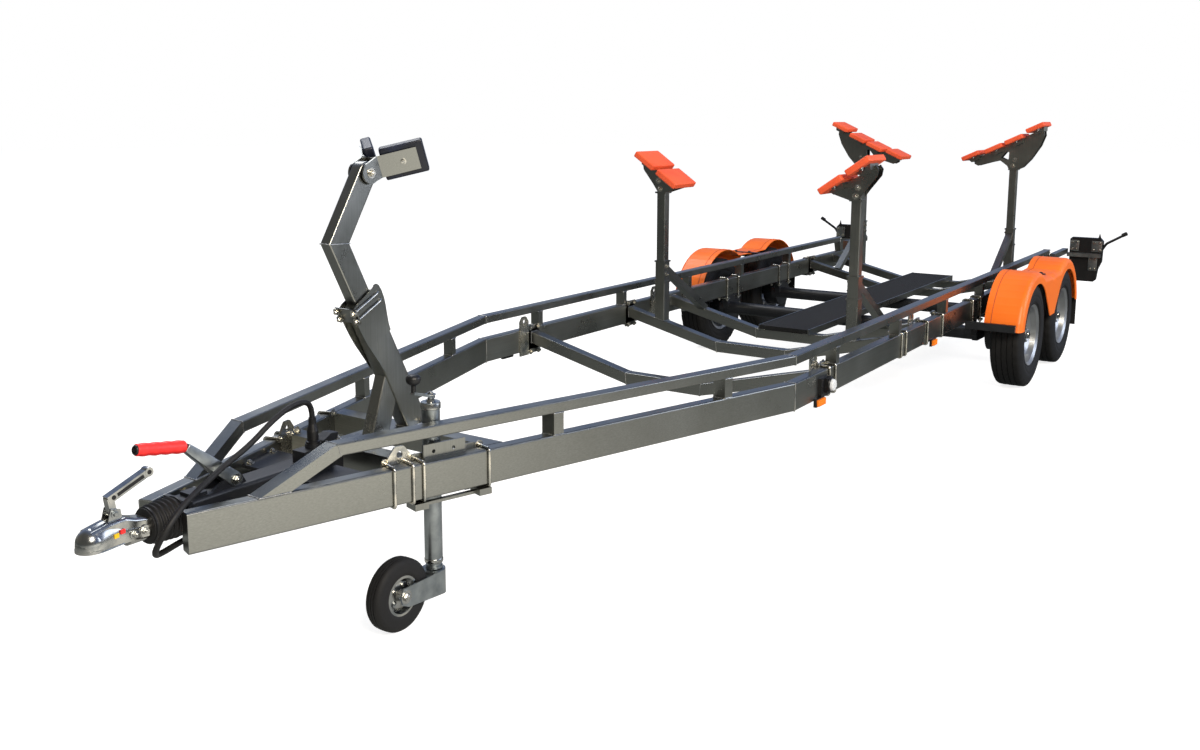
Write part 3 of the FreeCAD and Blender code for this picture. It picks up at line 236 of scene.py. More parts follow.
bright_zinc = zinc("bright_zinc_plated_steel", "#BEBDB8", 30.0, 0.22, 0.03)
dull_zinc = zinc("hot_dip_galvanised_steel", "#A2A8AA", 9.0, 0.38, 0.08)
bolt_steel = zinc("stainless_bolts", "#DDD8CB", 5.0, 0.26, 0.05)
weld_metal = zinc("bright_weld_metal", "#D2D0CB", 8.0, 0.3, 0.05)
print("zinc finishes made")

# %% [markdown]
# ## Black paint, plastic and rubber
# Six dark finishes look different only in their gloss, relief and dust. Axles and the
# overrun housing have satin powder coat with a light orange peel, and lamp cases are
# moulded plastic. The bellows and cable are soft rubber with little highlight, tyres are
# rougher, the bow cushions are dark blue, and the walkway is carpeted. A noise for the
# fine relief and a broad one for the dust make them all. Their real grain is under a
# millimetre wide, and it is drawn 2 to 4 mm wide so that it shows.

# %% Dark finishes
DUST_WIDE = 120.0


def dark_finish(name, colour, dust, roughness, relief, pattern):
    """Relief and pattern are the depth and the width of its grain in millimetres."""
    finish, tree, shader, place = start_finish(name, colour, 0.0, roughness)
    grit = add(tree, "ShaderNodeTexNoise", {"Vector": place, "Scale": per_metre(pattern),
                                            "Detail": 2.0})
    smear = add(tree, "ShaderNodeTexNoise", {"Vector": place, "Scale": per_metre(DUST_WIDE),
                                             "Detail": 6.0, "Roughness": 0.7}).outputs["Fac"]
    add(tree, "ShaderNodeValToRGB", {"Fac": smear}, shader.inputs["Base Color"],
        stops=[(0.5, colour), (0.95, dust)])
    add(tree, "ShaderNodeMapRange", {"Value": smear, "To Min": roughness - 0.1,
                                     "To Max": roughness + 0.12}, shader.inputs["Roughness"])
    add(tree, "ShaderNodeBump", {"Height": grit.outputs["Fac"], "Distance": relief / 1000,
                                 "Strength": 0.7}, shader.inputs["Normal"])
    return finish


powder_coat = dark_finish("black_powder_coat", "#131519", "#22252C", 0.42, 0.15, 3.0)
moulded_black = dark_finish("black_moulded_plastic", "#0E0E10", "#1C1D20", 0.42, 0.1, 2.0)
soft_rubber = dark_finish("soft_black_rubber", "#0C0C0E", "#1A1B1E", 0.6, 0.1, 2.5)
tyre_rubber = dark_finish("tyre_rubber", "#09090A", "#171615", 0.74, 0.2, 3.0)
navy_rubber = dark_finish("navy_black_rubber", "#0A0F1E", "#152A52", 0.42, 0.2, 4.0)
carpet = dark_finish("ribbed_black_carpet", "#0D0E10", "#191A1C", 0.9, 1.5, 3.0)
print("dark finishes made")

# %% [markdown]
# ## Orange mudguards and red pads
# The mudguards are one moulding of coloured polyethylene: the colour goes right through,
# and the surface has a faint flow texture and broad patches of a deeper shade. The hull
# pads are a redder soft plastic, pebbled by the mould and deeper in some places too. The
# lenses, the grip and the silver wheel paint are as smooth and are made the same way, and
# the paint's metal flake makes it three quarters metallic.

# %% Coloured plastics and paint
FADE_WIDE = 180.0


def moulded_colour(name, colour, shadow, roughness, relief, pattern, metallic=0.0):
    finish, tree, shader, place = start_finish(name, colour, metallic, roughness, IOR=1.5)
    broad = add(tree, "ShaderNodeTexNoise", {"Vector": place, "Scale": per_metre(FADE_WIDE),
                                             "Detail": 4.0}).outputs["Fac"]
    add(tree, "ShaderNodeValToRGB", {"Fac": broad}, shader.inputs["Base Color"],
        stops=[(0.25, shadow), (0.55, colour)])
    fine = add(tree, "ShaderNodeTexNoise", {"Vector": place, "Scale": per_metre(pattern)})
    add(tree, "ShaderNodeMapRange", {"Value": broad, "To Min": roughness - 0.08,
                                     "To Max": roughness + 0.1}, shader.inputs["Roughness"])
    add(tree, "ShaderNodeBump", {"Height": fine.outputs["Fac"], "Distance": relief / 1000,
                                 "Strength": 0.5}, shader.inputs["Normal"])
    return finish


orange_guard = moulded_colour("orange_polyethylene", "#F9740C", "#F06A08", 0.38, 0.15, 8.0)
red_pad = moulded_colour("red_soft_pvc", "#F66034", "#E45028", 0.5, 0.3, 3.0)
red_grip = moulded_colour("red_moulded_grip", "#F5302E", "#DE2422", 0.4, 0.2, 3.0)
yellow_mark = moulded_colour("yellow_mark", "#F2C21A", "#E0AE10", 0.4, 0.05, 4.0)
# A darker orange, painted shade for the mudguards' groove.
orange_shadow = moulded_colour("orange_painted_groove_shade", "#C24E0E", "#B0440A", 0.45, 0.1, 8.0)
amber = moulded_colour("amber_lens", "#FF8A1E", "#F07810", 0.2, 0.3, 4.0)
white_lens = moulded_colour("white_marker_lens", "#D9DDE0", "#B9BEC2", 0.18, 0.3, 4.0)
ruby_lens = moulded_colour("red_tail_lens", "#A80F12", "#8A0A0D", 0.18, 0.4, 6.0)
silver_paint = moulded_colour("silver_wheel_paint", "#ABAEB0", "#95989A", 0.32, 0.05, 3.0, 0.75)
print("coloured finishes made")

# %% [markdown]
# ## Finishes on the CAD pieces
# Each imported node keeps its solid and gets the finish that its real part has, but for the
# stainless fender stays, whose black powder coat is painted shade. The grain of the stainless
# pieces follows each tube, so posts take the upright one and cross members the one across.

# %% Give every node its finish
def finish_for(name):
    if name.startswith(("side_beam", "guard_rail", "walkway_frame")):
        return stainless["x"]
    if name.startswith(("cross_member", "post_base")):
        return stainless["y"]
    if name.startswith(("hull_posts", "jockey_bracket", "winch_post")):
        return stainless["z"]
    # The fender stays are stainless under the mudguards, and their black powder coat is painted
    # shade.
    table = {"axle": powder_coat, "fender_stays": powder_coat, "overrun_housing": powder_coat,
             "tyre": tyre_rubber, "jockey_tyre": tyre_rubber, "rim": silver_paint,
             "fender": orange_guard, "mud_flap": soft_rubber, "drawbar_bellows": soft_rubber,
             "plug_cable": soft_rubber, "walkway_deck": carpet, "coupling_head": bright_zinc,
             "jockey_rim": bright_zinc, "jockey": dull_zinc, "brake_lever": dull_zinc,
             "brake_grip": red_grip, "beam_clamps": bolt_steel, "hull_pads": red_pad,
             "bow_stop_bracket": stainless["x"], "bow_stop_pads": navy_rubber,
             "trailer_plug": moulded_black, "jockey_knob": moulded_black,
             "lamp_seats": moulded_black, "tail_board": moulded_black,
             "side_lamps": amber, "tail_lamps": ruby_lens}
    for start in sorted(table, key=len, reverse=True):
        if name.startswith(start):
            return table[start]
    raise KeyError(name)


for name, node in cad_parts.items():
    node.data.materials.clear()
    node.data.materials.append(finish_for(name))
print("finished", len(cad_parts), "nodes")

# %% [markdown]
# ## The stage
# A pale floor and a white world stand for the photographer's cut-out background. The floor
# glows a little for camera rays only, so that it meets the white world without a line and
# still keeps the trailer's shadow. Metal needs something to mirror, so to glossy rays the
# floor glows with a painted pool of warm light before the near beam, which fades to a darker
# painted glow further back. All of it stays where it is in the room when the camera moves.

# %% Floor
FLOOR_HALF, FLOOR_GLOW, POOL_GLOW = 60.0, 0.80, 1.7
POOL_CENTRE, POOL_NEAR, POOL_FAR = (-4.0, -3.2, 0.0), 1.4, 6.2
# Painted glow that only glossy rays see: a warm pool before the near beam, darker further back.
POOL_FADE_GLOW = [(0.0, "#FFFAEE"), (0.25, "#AAA8A2"), (0.5, "#7E7F7C"), (1.0, "#484B4A")]
floor_corners = rectangle(-FLOOR_HALF, FLOOR_HALF, -FLOOR_HALF, FLOOR_HALF)
floor_mesh = bpy.data.meshes.new("floor")
floor_mesh.from_pydata([(x, y, 0) for x, y in floor_corners], [], [(0, 1, 2, 3)])
floor = bpy.data.objects.new("floor", floor_mesh)
bpy.context.scene.collection.objects.link(floor)
floor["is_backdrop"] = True
pale, tree, matt, place = start_finish("pale_floor", "#B9B7B4", 0.0, 0.9)
ray = add(tree, "ShaderNodeLightPath").outputs
glow = add(tree, "ShaderNodeEmission", {"Color": (1, 1, 1, 1), "Strength": FLOOR_GLOW})
lit = add(tree, "ShaderNodeAddShader", {0: matt.outputs[0], 1: glow.outputs[0]})
from_pool = add(tree, "ShaderNodeVectorMath", {0: place, 1: POOL_CENTRE}, operation="DISTANCE")
fade = add(tree, "ShaderNodeMapRange", {"Value": from_pool.outputs["Value"],
                                        "From Min": POOL_NEAR, "From Max": POOL_FAR})
# Colour of the floor's painted glow for glossy rays, by distance from the pool.
yard = add(tree, "ShaderNodeValToRGB", {"Fac": fade.outputs["Result"]}, stops=POOL_FADE_GLOW)
mirrored = add(tree, "ShaderNodeEmission", {"Color": yard.outputs["Color"],
                                            "Strength": POOL_GLOW})
by_gloss = add(tree, "ShaderNodeMixShader", {0: ray["Is Glossy Ray"], 1: matt.outputs[0],
                                             2: mirrored.outputs[0]})
add(tree, "ShaderNodeMixShader", {0: ray["Is Camera Ray"], 1: by_gloss.outputs[0],
                                  2: lit.outputs[0]},
    tree.nodes["Material Output"].inputs["Surface"])
floor_mesh.materials.append(pale)
print("floor is", 2 * FLOOR_HALF, "m wide")

# %% [markdown]
# The world is plain white to the camera. To glossy rays it shows a pale horizon that turns
# to soft sky blue towards the rear and a grey wall ahead, as in the open yard where such a
# trailer stands. Every other ray meets a soft and slightly blue light.

# %% World
SKY, SKY_GLOW = [(0.0, "#D8D8D6"), (0.16, "#8193B8")], 0.9
WALL, WALL_GLOW = "#77756F", 0.85
WALL_ENDS, SKY_STARTS = -0.35, 0.15
SOFT_LIGHT, SOFT_GLOW = "#E4E9F2", 0.55
world = bpy.data.worlds.new("studio")
bpy.context.scene.world = world
world.use_nodes = True
tree = world.node_tree
white = tree.nodes["Background"]
white.inputs["Color"].default_value = (1, 1, 1, 1)
ray = add(tree, "ShaderNodeLightPath").outputs
way = add(tree, "ShaderNodeTexCoord").outputs["Generated"]
heading = add(tree, "ShaderNodeSeparateXYZ", {"Vector": way}).outputs
dome = add(tree, "ShaderNodeValToRGB", {"Fac": heading["Z"]}, stops=SKY)
open_sky = add(tree, "ShaderNodeBackground", {"Color": dome.outputs["Color"],
                                              "Strength": SKY_GLOW})
wall = add(tree, "ShaderNodeBackground", {"Color": linear(WALL), "Strength": WALL_GLOW})
to_rear = add(tree, "ShaderNodeMapRange", {"Value": heading["X"], "From Min": WALL_ENDS,
                                           "From Max": SKY_STARTS})
mirrored = add(tree, "ShaderNodeMixShader", {0: to_rear.outputs["Result"], 1: wall.outputs[0],
                                             2: open_sky.outputs[0]})
soft = add(tree, "ShaderNodeBackground", {"Color": linear(SOFT_LIGHT), "Strength": SOFT_GLOW})
by_gloss = add(tree, "ShaderNodeMixShader", {0: ray["Is Glossy Ray"], 1: soft.outputs[0],
                                             2: mirrored.outputs[0]})
straight = add(tree, "ShaderNodeMath", {0: ray["Is Camera Ray"],
                                        1: ray["Is Transmission Ray"]}, operation="MAXIMUM")
add(tree, "ShaderNodeMixShader", {0: straight.outputs[0], 1: by_gloss.outputs[0],
                                  2: white.outputs[0]},
    tree.nodes["World Output"].inputs["Surface"])
print("world has", len(tree.nodes), "nodes")

# %% [markdown]
# Three square softboxes light the trailer: a warm key from the front left, a cool fill
# from the rear left, and a rim light high on the right that draws the top edges.

# %% Lamps
LAMPS = {"key": ((-6.5, -7.5, 7.0), (0, 0, 0.4), 4.0, 1150, "#FFF4E4"),
         "fill": ((5.0, -9.0, 4.5), (0.5, 0, 0.5), 6.0, 420, "#EAF0FF"),
         "rim": ((1.5, 6.5, 9.0), (0, 0, 0.5), 5.0, 420, "#FFFFFF")}
for name, (spot, aim, size, watts, colour) in LAMPS.items():
    lamp = bpy.data.lights.new(name, "AREA")
    lamp.shape, lamp.size, lamp.energy = "SQUARE", size, watts
    lamp.color = linear(colour)[:3]
    holder = bpy.data.objects.new(name, lamp)
    holder.location = spot
    holder.rotation_euler = (Vector(aim) - Vector(spot)).to_track_quat("-Z", "Y").to_euler()
    bpy.context.scene.collection.objects.link(holder)
bpy.context.scene.view_settings.view_transform = "Standard"
print("stage is lit by", len(LAMPS), "softboxes")

# %% [markdown]
# ## The trailer's cable
# The lighting cable is about 18 mm of soft rubber hose round its wires. It leaves a gland
# under the overrun housing, turns up round the bellows, climbs over the brake lever and
# ends in its plug, parked in a holder. The photograph shows all of it, about a metre. A
# NURBS curve through the route's points bends as such a cable does.

# %% Cable from gland to plug
CABLE_THICK = 0.018
ROUTE = [(95, 0, 432), (40, -6, 426), (-18, -18, 420), (-66, -48, 432), (-78, -88, 480),
         (-52, -106, 530), (12, -90, 572), (95, -66, 598), (180, -48, 629), (278, -42, 665),
         (372, -38, 722), (455, -32, 752), (520, -26, 748), (541, -22, 716), (541, -22, 690)]
cable_curve = bpy.data.curves.new("plug_cable_hose", "CURVE")
cable_curve.dimensions = "3D"
cable_curve.bevel_depth = CABLE_THICK / 2
cable_curve.bevel_resolution = 5
cable_curve.resolution_u = 12
cable_curve.use_fill_caps = True
line = cable_curve.splines.new("NURBS")
line.points.add(len(ROUTE) - 1)
for point, spot in zip(line.points, ROUTE):
    point.co = (*at(*spot), 1)
line.order_u = 3
line.use_endpoint_u = True
cable = bpy.data.objects.new("cable_hose", cable_curve)
bpy.context.scene.collection.objects.link(cable)
cable_curve.materials.append(soft_rubber)
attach(cable, "chassis")
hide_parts("plug_cable")
print("cable has", len(ROUTE), "points")

# %% [markdown]
# ## Turned, bent and welded shapes
# Many small parts of a trailer are turned or forged: they are a profile spun round a line.
# Others are bent rods, hexagon bolts and weld seams. Each helper below returns plain
# vertices and faces, and one more puts several of them together as one named piece.

# %% Rings and the skin between them
def frame_of(axis):
    axis = Vector(axis).normalized()
    side = axis.orthogonal().normalized()
    return axis, side, axis.cross(side)


def ring_at(centre, side, up, radius, steps):
    """Points on a circle, its radius in millimetres."""
    angles = [math.tau * k / steps for k in range(steps)]
    return [centre + (side * math.cos(a) + up * math.sin(a)) * (radius / 1000) for a in angles]


def skin(rings, closed=False):
    """Faces over equal rings of points, with a cap on each end unless it closes on itself."""
    n = len(rings[0])
    points = [p for ring in rings for p in ring]
    faces = []
    for j in range(len(rings) if closed else len(rings) - 1):
        a, b = j * n, (j + 1) % len(rings) * n
        faces += [(a + k, a + (k + 1) % n, b + (k + 1) % n, b + k) for k in range(n)]
    if not closed:
        faces += [tuple(range(n - 1, -1, -1)), tuple(range(len(points) - n, len(points)))]
    return points, faces


def spun(rings, centre, axis, steps, closed=False):
    """Rings are (radius, distance along the axis), in millimetres."""
    axis, side, up = frame_of(axis)
    return skin([ring_at(Vector(centre) + axis * (along / 1000), side, up, radius, steps)
                 for radius, along in rings], closed)


def swept(path, radii, steps=12):
    """A rod along a path. Its radius is one number, or one for each point."""
    side = frame_of(path[1] - path[0])[1]
    rings = []
    for i, spot in enumerate(path):
        ahead = (path[min(i + 1, len(path) - 1)] - path[max(i - 1, 0)]).normalized()
        side = (side - ahead * side.dot(ahead)).normalized()
        radius = radii if isinstance(radii, (int, float)) else radii[i]
        rings.append(ring_at(spot, side, ahead.cross(side), radius, steps))
    return skin(rings)


print("a cone has", len(spun([(10, 0), (1, 20)], (0, 0, 0), (0, 0, 1), 6)[1]), "faces")

# %% [markdown]
# Bolts, bent rods, seams and plates are made of those skins. A weld seam always closes
# round its joint, so it is given its corners once. A plate lies on its first face and
# thickens towards the same side of the real piece on the left and on the right.

# %% Bolts, bent rods, seams and plates
def hexagon(centre, axis, across, high, stub=0.0):
    """A bolt head or nut on its washer, with the thread's end showing above it."""
    r = across / math.sqrt(3)
    shapes = [spun([(across * 0.95, -0.5), (across * 0.95, 1.6)], centre, axis, 20),
              spun([(r * 0.97, 1.6), (r, 2.4), (r, high - 1), (r * 0.9, high)], centre, axis, 6)]
    if stub:
        shapes.append(spun([(across * 0.3, high - 1), (across * 0.3, high + stub - 1),
                            (across * 0.24, high + stub)], centre, axis, 14))
    return shapes


def bent(points, bend, steps=5):
    """A line whose corners are rounded to a bend radius in millimetres."""
    line = [points[0]]
    for a, b, c in zip(points, points[1:], points[2:]):
        u, v = (a - b).normalized(), (c - b).normalized()
        half = u.angle(v) / 2
        middle = b + (u + v).normalized() * (bend / 1000 / math.sin(half))
        reach = bend / 1000 / math.tan(half)
        start, end = b + u * reach - middle, b + v * reach - middle
        line += [middle + start.slerp(end, i / steps) * start.length for i in range(steps + 1)]
    return line + [points[-1]]


RIPPLE = 6.0


def seam(corners, radius=2.6):
    """A weld round its corners: a thin rod that swells and narrows as the welder moves."""
    path, radii = [], []
    for a, b in zip(corners, corners[1:] + corners[:1]):
        count = max(2, round((b - a).length * 2000 / RIPPLE))
        for i in range(count + 1):
            path.append(a.lerp(b, i / count))
            radii.append(radius * (1.15 if i % 2 else 0.85))
    keep = [0] + [i for i in range(1, len(path)) if (path[i] - path[i - 1]).length > 1e-5]
    return swept([path[i] for i in keep], [radii[i] for i in keep], 6)


def slab(corners, thick, side=-1):
    """A flat plate from its corners, thick along its normal, and mirrored where side is 1."""
    corners = [Vector(c) for c in corners]
    if side > 0:
        corners.reverse()
    normal = (corners[1] - corners[0]).cross(corners[2] - corners[1]).normalized() * (thick / 1000)
    return skin([corners, [c + normal for c in corners]])


def piece(name, shapes, finish, body="chassis", sharp=35, round_mm=0.0):
    """Joins shapes as one object that rides on a body."""
    points, faces = [], []
    for shape_points, shape_faces in shapes:
        start = len(points)
        points += shape_points
        faces += [tuple(start + i for i in face) for face in shape_faces]
    mesh = bpy.data.meshes.new(name)
    mesh.from_pydata([tuple(p) for p in points], [], faces)
    work = bmesh.new()
    work.from_mesh(mesh)
    bmesh.ops.recalc_face_normals(work, faces=work.faces)
    if round_mm:
        edges = [e for e in work.edges
                 if len(e.link_faces) == 2 and e.calc_face_angle(0) > math.radians(sharp)]
        bmesh.ops.bevel(work, geom=edges, offset=round_mm / 1000, segments=3, profile=0.5,
                        affect="EDGES", clamp_overlap=True)
    work.to_mesh(mesh)
    work.free()
    mesh.shade_smooth()
    mesh.set_sharp_from_angle(angle=math.radians(sharp))
    mesh.materials.append(finish)
    thing = bpy.data.objects.new(name, mesh)
    bpy.context.scene.collection.objects.link(thing)
    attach(thing, body)
    return thing


print("a nut has", sum(len(part[1]) for part in hexagon((0, 0, 0), (0, 0, 1), 17, 9, 5)), "faces")

# %% [markdown]
# ## Road tyres
# The road tyres are commercial 14 inch ones: a square shoulder, four grooves round the
# tread, short cuts across the shoulders, and thin ribs round the sidewall. The profile is
# spun in 120 steps, and every fourth step drops the shoulder to cut the blocks. A texture
# could fake the grooves, but they show against the white floor, so they are real.

# %% Tyre mesh
TYRE_R, BEAD_R, TREAD_HALF = 325.0, 190.0, 68.0
GROOVES, GROOVE_WIDE, GROOVE_DEEP = (48.0, 16.0), 6.0, 6.0
TYRE_STEPS, BLOCK_STEPS, CUT_DEEP = 120, 4, 0.004
WALL_PROFILE = [(-6, 72), (4, 82), (12, 84), (16, 89), (30, 93), (44, 94.6), (46, 94), (54, 94),
                (56, 95), (72, 94.4), (92, 91), (94, 90), (100, 89), (102, 90)]
SHOULDER = [(20, 85), (9, 79), (4, 73), (2, TREAD_HALF)]
INNER = [(-6, -72), (-4, -40), (-4, 40)]
WHEELS = [(end, name, side) for end in ("front", "rear") for name, side in SIDES]


def tyre_profile():
    """The closed section as (radius, distance from the middle plane)."""
    half = [(BEAD_R + r, y) for r, y in WALL_PROFILE] + [(TYRE_R - r, y) for r, y in SHOULDER]
    for middle in GROOVES:
        outer, inner = middle + GROOVE_WIDE / 2, middle - GROOVE_WIDE / 2
        half += [(TYRE_R - 1, outer), (TYRE_R - GROOVE_DEEP, outer - 1),
                 (TYRE_R - GROOVE_DEEP, inner + 1), (TYRE_R, inner)]
    mirrored_half = [(r, -y) for r, y in reversed(half)][:-1]
    return half + mirrored_half + [(BEAD_R + r, y) for r, y in INNER]


def tyre_shape(centre, axis):
    rings = tyre_profile()
    points, faces = spun(rings, centre, axis, TYRE_STEPS, closed=True)
    axis = Vector(axis).normalized()
    for j, (radius, along) in enumerate(rings):
        if radius > TYRE_R - 24 and 50 < abs(along) < 88:
            for i in range(j * TYRE_STEPS, (j + 1) * TYRE_STEPS, BLOCK_STEPS):
                spot = points[i] - centre
                out = spot - axis * spot.dot(axis)
                points[i] = points[i] - out.normalized() * CUT_DEEP
    return points, faces


for end, name, side in WHEELS:
    low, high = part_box(f"tyre_{end}_{name}")
    shape = tyre_shape((low + high) / 2, (0, 1, 0))
    tyre = piece(f"treaded_tyre_{end}_{name}", [shape], tyre_rubber, f"wheel_{end}_{name}",
                 sharp=30)
    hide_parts(f"tyre_{end}_{name}")
print("tyre has", len(tyre.data.polygons), "faces")

# %% [markdown]
# ## Wheel bolts, caps and valves
# Each pressed steel wheel is held by five hexagon bolts on a 112 mm circle, with a pressed
# grease cap over the bearing. They turn with the wheel, so they ride on the wheel's body.

# %% Wheel hardware
BOLT_RADIUS, BOLT_SEAT, CAP_SEAT = 56.0, 34.0, 51.0
VALVE_RADIUS, VALVE_SEAT, VALVE_TURN, BOLT_TURN = 0.150, 0.022, 2.1, 0.3
CAP_PROFILE = [(30, 0), (30, 3), (26, 4), (26, 14), (23, 19), (14, 22), (0.5, 23)]
VALVE_PROFILE = [(5, -16), (5, 0), (3.5, 2), (3.5, 18), (4.5, 19), (4.5, 26), (3, 27)]


def five_round(centre, offset, radius, turn=0.0):
    """Five places on a wheel's bolt circle, offset along the axle, all in metres."""
    for k in range(5):
        a = math.tau * k / 5 + turn
        yield centre + Vector((math.cos(a) * radius, offset, math.sin(a) * radius))


for end, name, side in WHEELS:
    low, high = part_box(f"rim_{end}_{name}")
    centre, away, body = (low + high) / 2, Vector((0, side, 0)), f"wheel_{end}_{name}"
    heads = []
    for spot in five_round(centre, side * BOLT_SEAT / 1000, BOLT_RADIUS / 1000, BOLT_TURN):
        heads += hexagon(spot, away, 19, 15, stub=3)
    piece(f"wheel_bolts_{end}_{name}", heads, bright_zinc, body)
    cap = spun(CAP_PROFILE, centre + away * CAP_SEAT / 1000, away, 40)
    valve_spot = centre + Vector((math.cos(VALVE_TURN) * VALVE_RADIUS, side * VALVE_SEAT,
                                  math.sin(VALVE_TURN) * VALVE_RADIUS))
    valve = spun(VALVE_PROFILE, valve_spot, away, 16)
    piece(f"grease_cap_{end}_{name}", [cap], bright_zinc, body)
    piece(f"valve_{end}_{name}", [valve], soft_rubber, body)
print("four wheels have bolts, caps and valves")

# %% [markdown]
# ## Bellows
# The rubber bellows keep road dirt off the sliding drawbar. They are moulded in soft folds,
# widest at the housing, with a plain cuff and a black clamp at each end. A profile drawn with
# a cosine gives the folds, and it is spun once round the drawbar.

# %% Bellows over the drawbar
FOLDS, CUFF, FOLD_STEPS = 5, 0.12, 80
BORE_R, BELLOWS_R, WIDENS, FOLD_HIGH = 8.0, 50.0, 6.0, 6.0
low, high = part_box("drawbar_bellows")
length = (high.x - low.x) * 1000
profile = [(BORE_R, 0.0)]
for i in range(FOLD_STEPS + 1):
    t = i / FOLD_STEPS
    turn = math.tau * FOLDS * (t - CUFF) / (1 - 2 * CUFF)
    wave = 0.5 - 0.5 * math.cos(turn) if CUFF <= t <= 1 - CUFF else 0.0
    profile.append((BELLOWS_R + WIDENS * t + FOLD_HIGH * wave, length * t))
profile.append((BORE_R, length))
front = Vector((low.x, 0, (low.z + high.z) / 2))
bellows = piece("moulded_bellows", [spun(profile, front, (1, 0, 0), 64)], soft_rubber,
                sharp=60)
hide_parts("drawbar_bellows")
clamps = []
for along, radius in ((6.0, 50.7), (length - 6.0, 56.1)):
    band = [(radius, -1.8), (radius + 3, -1.2), (radius + 3, 1.2), (radius, 1.8)]
    clamps.append(spun([(r, along + d) for r, d in band], front, (1, 0, 0), 64))
piece("bellows_clamps", clamps, moulded_black)
print("bellows have", FOLDS, "folds over", round(length), "mm")

# %% [markdown]
# ## Hand brake grip
# The grip is a red moulding pushed on the lever, with shallow finger waves and a flared heel.
# Its release button and socket are black. It is spun along the lever's own line. The lever
# itself is folded sheet that straddles the plates of its pivot, so it is a loft that widens
# towards the pivot, while a bent tube would look too thin there.

# %% Grip and button
GRIP_REAR, GRIP_FRONT = at(80, -4, 704), at(-80, -4, 733)
WAVES, WAVE_HIGH, GRIP_R, GRIP_FLARE, GRIP_STEPS = 4, 0.9, 18.2, 0.8, 40
grip_line = GRIP_FRONT - GRIP_REAR
long = grip_line.length * 1000
profile = [(9.2, 0.0), (15.0, 0.0), (18.0, 3.0)]
for i in range(GRIP_STEPS + 1):
    t = i / GRIP_STEPS
    wave = WAVE_HIGH * math.cos(math.tau * WAVES * t)
    profile.append((GRIP_R - wave + GRIP_FLARE * (1 - t), 5 + (long - 17) * t))
profile += [(17.5, long - 9), (16.0, long - 7), (14.6, long - 7)]
grip = piece("finger_grip", [spun(profile, GRIP_REAR, grip_line, 40)], red_grip,
             sharp=50)
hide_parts("brake_grip")
BUTTON = [(14.4, 22), (14.4, 5), (13, 2.5), (9.5, 2), (9, 5), (6, 5), (5.6, 0.6), (0.4, 0.6)]
button = spun([(r, long - back) for r, back in BUTTON], GRIP_REAR, grip_line, 32)
piece("release_button", [button], moulded_black)
print("grip is", round(long), "mm long")

# %% [markdown]
# Seven oblong sections along the lever, each given as its distance from the pivot and its
# half height, make one skin. Its long edges are rounded by a small bevel.

# %% Folded lever
LEVER_PIVOT, LEVER_END = at(234, 0, 569.5), at(80, 0, 704)
LEVER_SECTIONS = [(-24, 8), (-20, 14), (-10, 20), (2, 22), (60, 20), (140, 17), (200, 13)]
arm_way = (LEVER_END - LEVER_PIVOT).normalized()
arm_up = Vector((arm_way.z, 0, -arm_way.x))
arm_rings = []
for along, half_high in LEVER_SECTIONS:
    near, far = -30.0 + 13 * max(along, 0) / 200, 25.0 - 16 * max(along, 0) / 200
    spot = LEVER_PIVOT + arm_way * along / 1000
    arm_rings.append([spot + arm_up * h / 1000 + Vector((0, y / 1000, 0))
                      for y, h in rectangle(near, far, half_high, -half_high)])
lever = piece("folded_brake_lever", [skin(arm_rings)], dull_zinc, round_mm=2.5)
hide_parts("brake_lever")
print("lever has", len(lever.data.polygons), "faces")

# %% [markdown]
# ## Hull pads
# The boat rests on moulded pads of soft plastic. Each is a block of about 242 by 146 by
# 37 mm in front, and 242 by 136 by 35 mm at the rear, with rounded edges and a slightly
# crowned face. A cube cut in eight each way gives the vertices: the outer rows are bent
# round the edges, and the face's own rows are lowered towards the edge for the crown.

# %% One soft block
EDGE_ROUND, CUTS = 7.0, 7
ARC_MIDDLE = 0.586


def spread(c, half):
    """Eight equal steps from -1 to 1 become two on each rounded edge and four between."""
    flat = half - EDGE_ROUND
    stops = (0.0, flat / 2, flat, half - EDGE_ROUND * ARC_MIDDLE, half)
    return math.copysign(stops[round(abs(c) * 4)], c)


def soft_block(centre, along, across, up, half, crown=2.0):
    """half is the block's half sizes in millimetres along those three directions."""
    work = bmesh.new()
    bmesh.ops.create_cube(work, size=2.0)
    bmesh.ops.subdivide_edges(work, edges=work.edges[:], cuts=CUTS, use_grid_fill=True)
    points = []
    for v in work.verts:
        p = Vector([spread(c, h) for c, h in zip(v.co, half)])
        core = Vector([max(EDGE_ROUND - h, min(h - EDGE_ROUND, c)) for h, c in zip(half, p)])
        out = p - core
        if out.length > EDGE_ROUND * 1.001:
            p = core + out.normalized() * EDGE_ROUND
        if v.co.z > 0:
            p.z -= crown * v.co.z * max((p.x / half[0]) ** 2, (p.y / half[1]) ** 2)
        points.append(Vector(centre) + (along * p.x + across * p.y + up * p.z) / 1000)
    index = {v: i for i, v in enumerate(work.verts)}
    faces = [tuple(index[v] for v in f.verts) for f in work.faces]
    work.free()
    return points, faces


block = soft_block((0, 0, 0), *Matrix.Identity(3), (10, 10, 10))
print("a soft block has", len(block[1]), "faces")

# %% [markdown]
# Each hull post carries its pads in a row on a tilted head: two in front, four at the
# rear. A head is given as its post's station, how far the pads sit ahead of it, the tilt
# in degrees, and each pad's middle. The rear pads are drawn 6 mm inward so that the
# highest one stays under the trailer's full height.

# %% Hull pads
HEADS = {"front": (3772.0, 30.0, 34.5, [(490, 1308), (634, 1408)]),
         "rear": (7000.0, 24.0, 25.0, [(302, 1378), (468, 1436), (612, 1504), (760, 1592)])}
PAD_HALF = {"front": (121.0, 73.0, 18.5), "rear": (121.0, 68.0, 17.5)}
PAD_SHIFT = {"front": (0.0, 0.001), "rear": (-0.006, 0.0)}


def pad_places(end):
    post_x, reach, slant, middles = HEADS[end]
    a = math.radians(slant)
    for _, side in SIDES:
        across = Vector((0, side * math.cos(a), math.sin(a)))
        up = Vector((0, -side * math.sin(a), math.cos(a)))
        for y, z in middles:
            yield at(post_x - reach, side * y, z), across, up


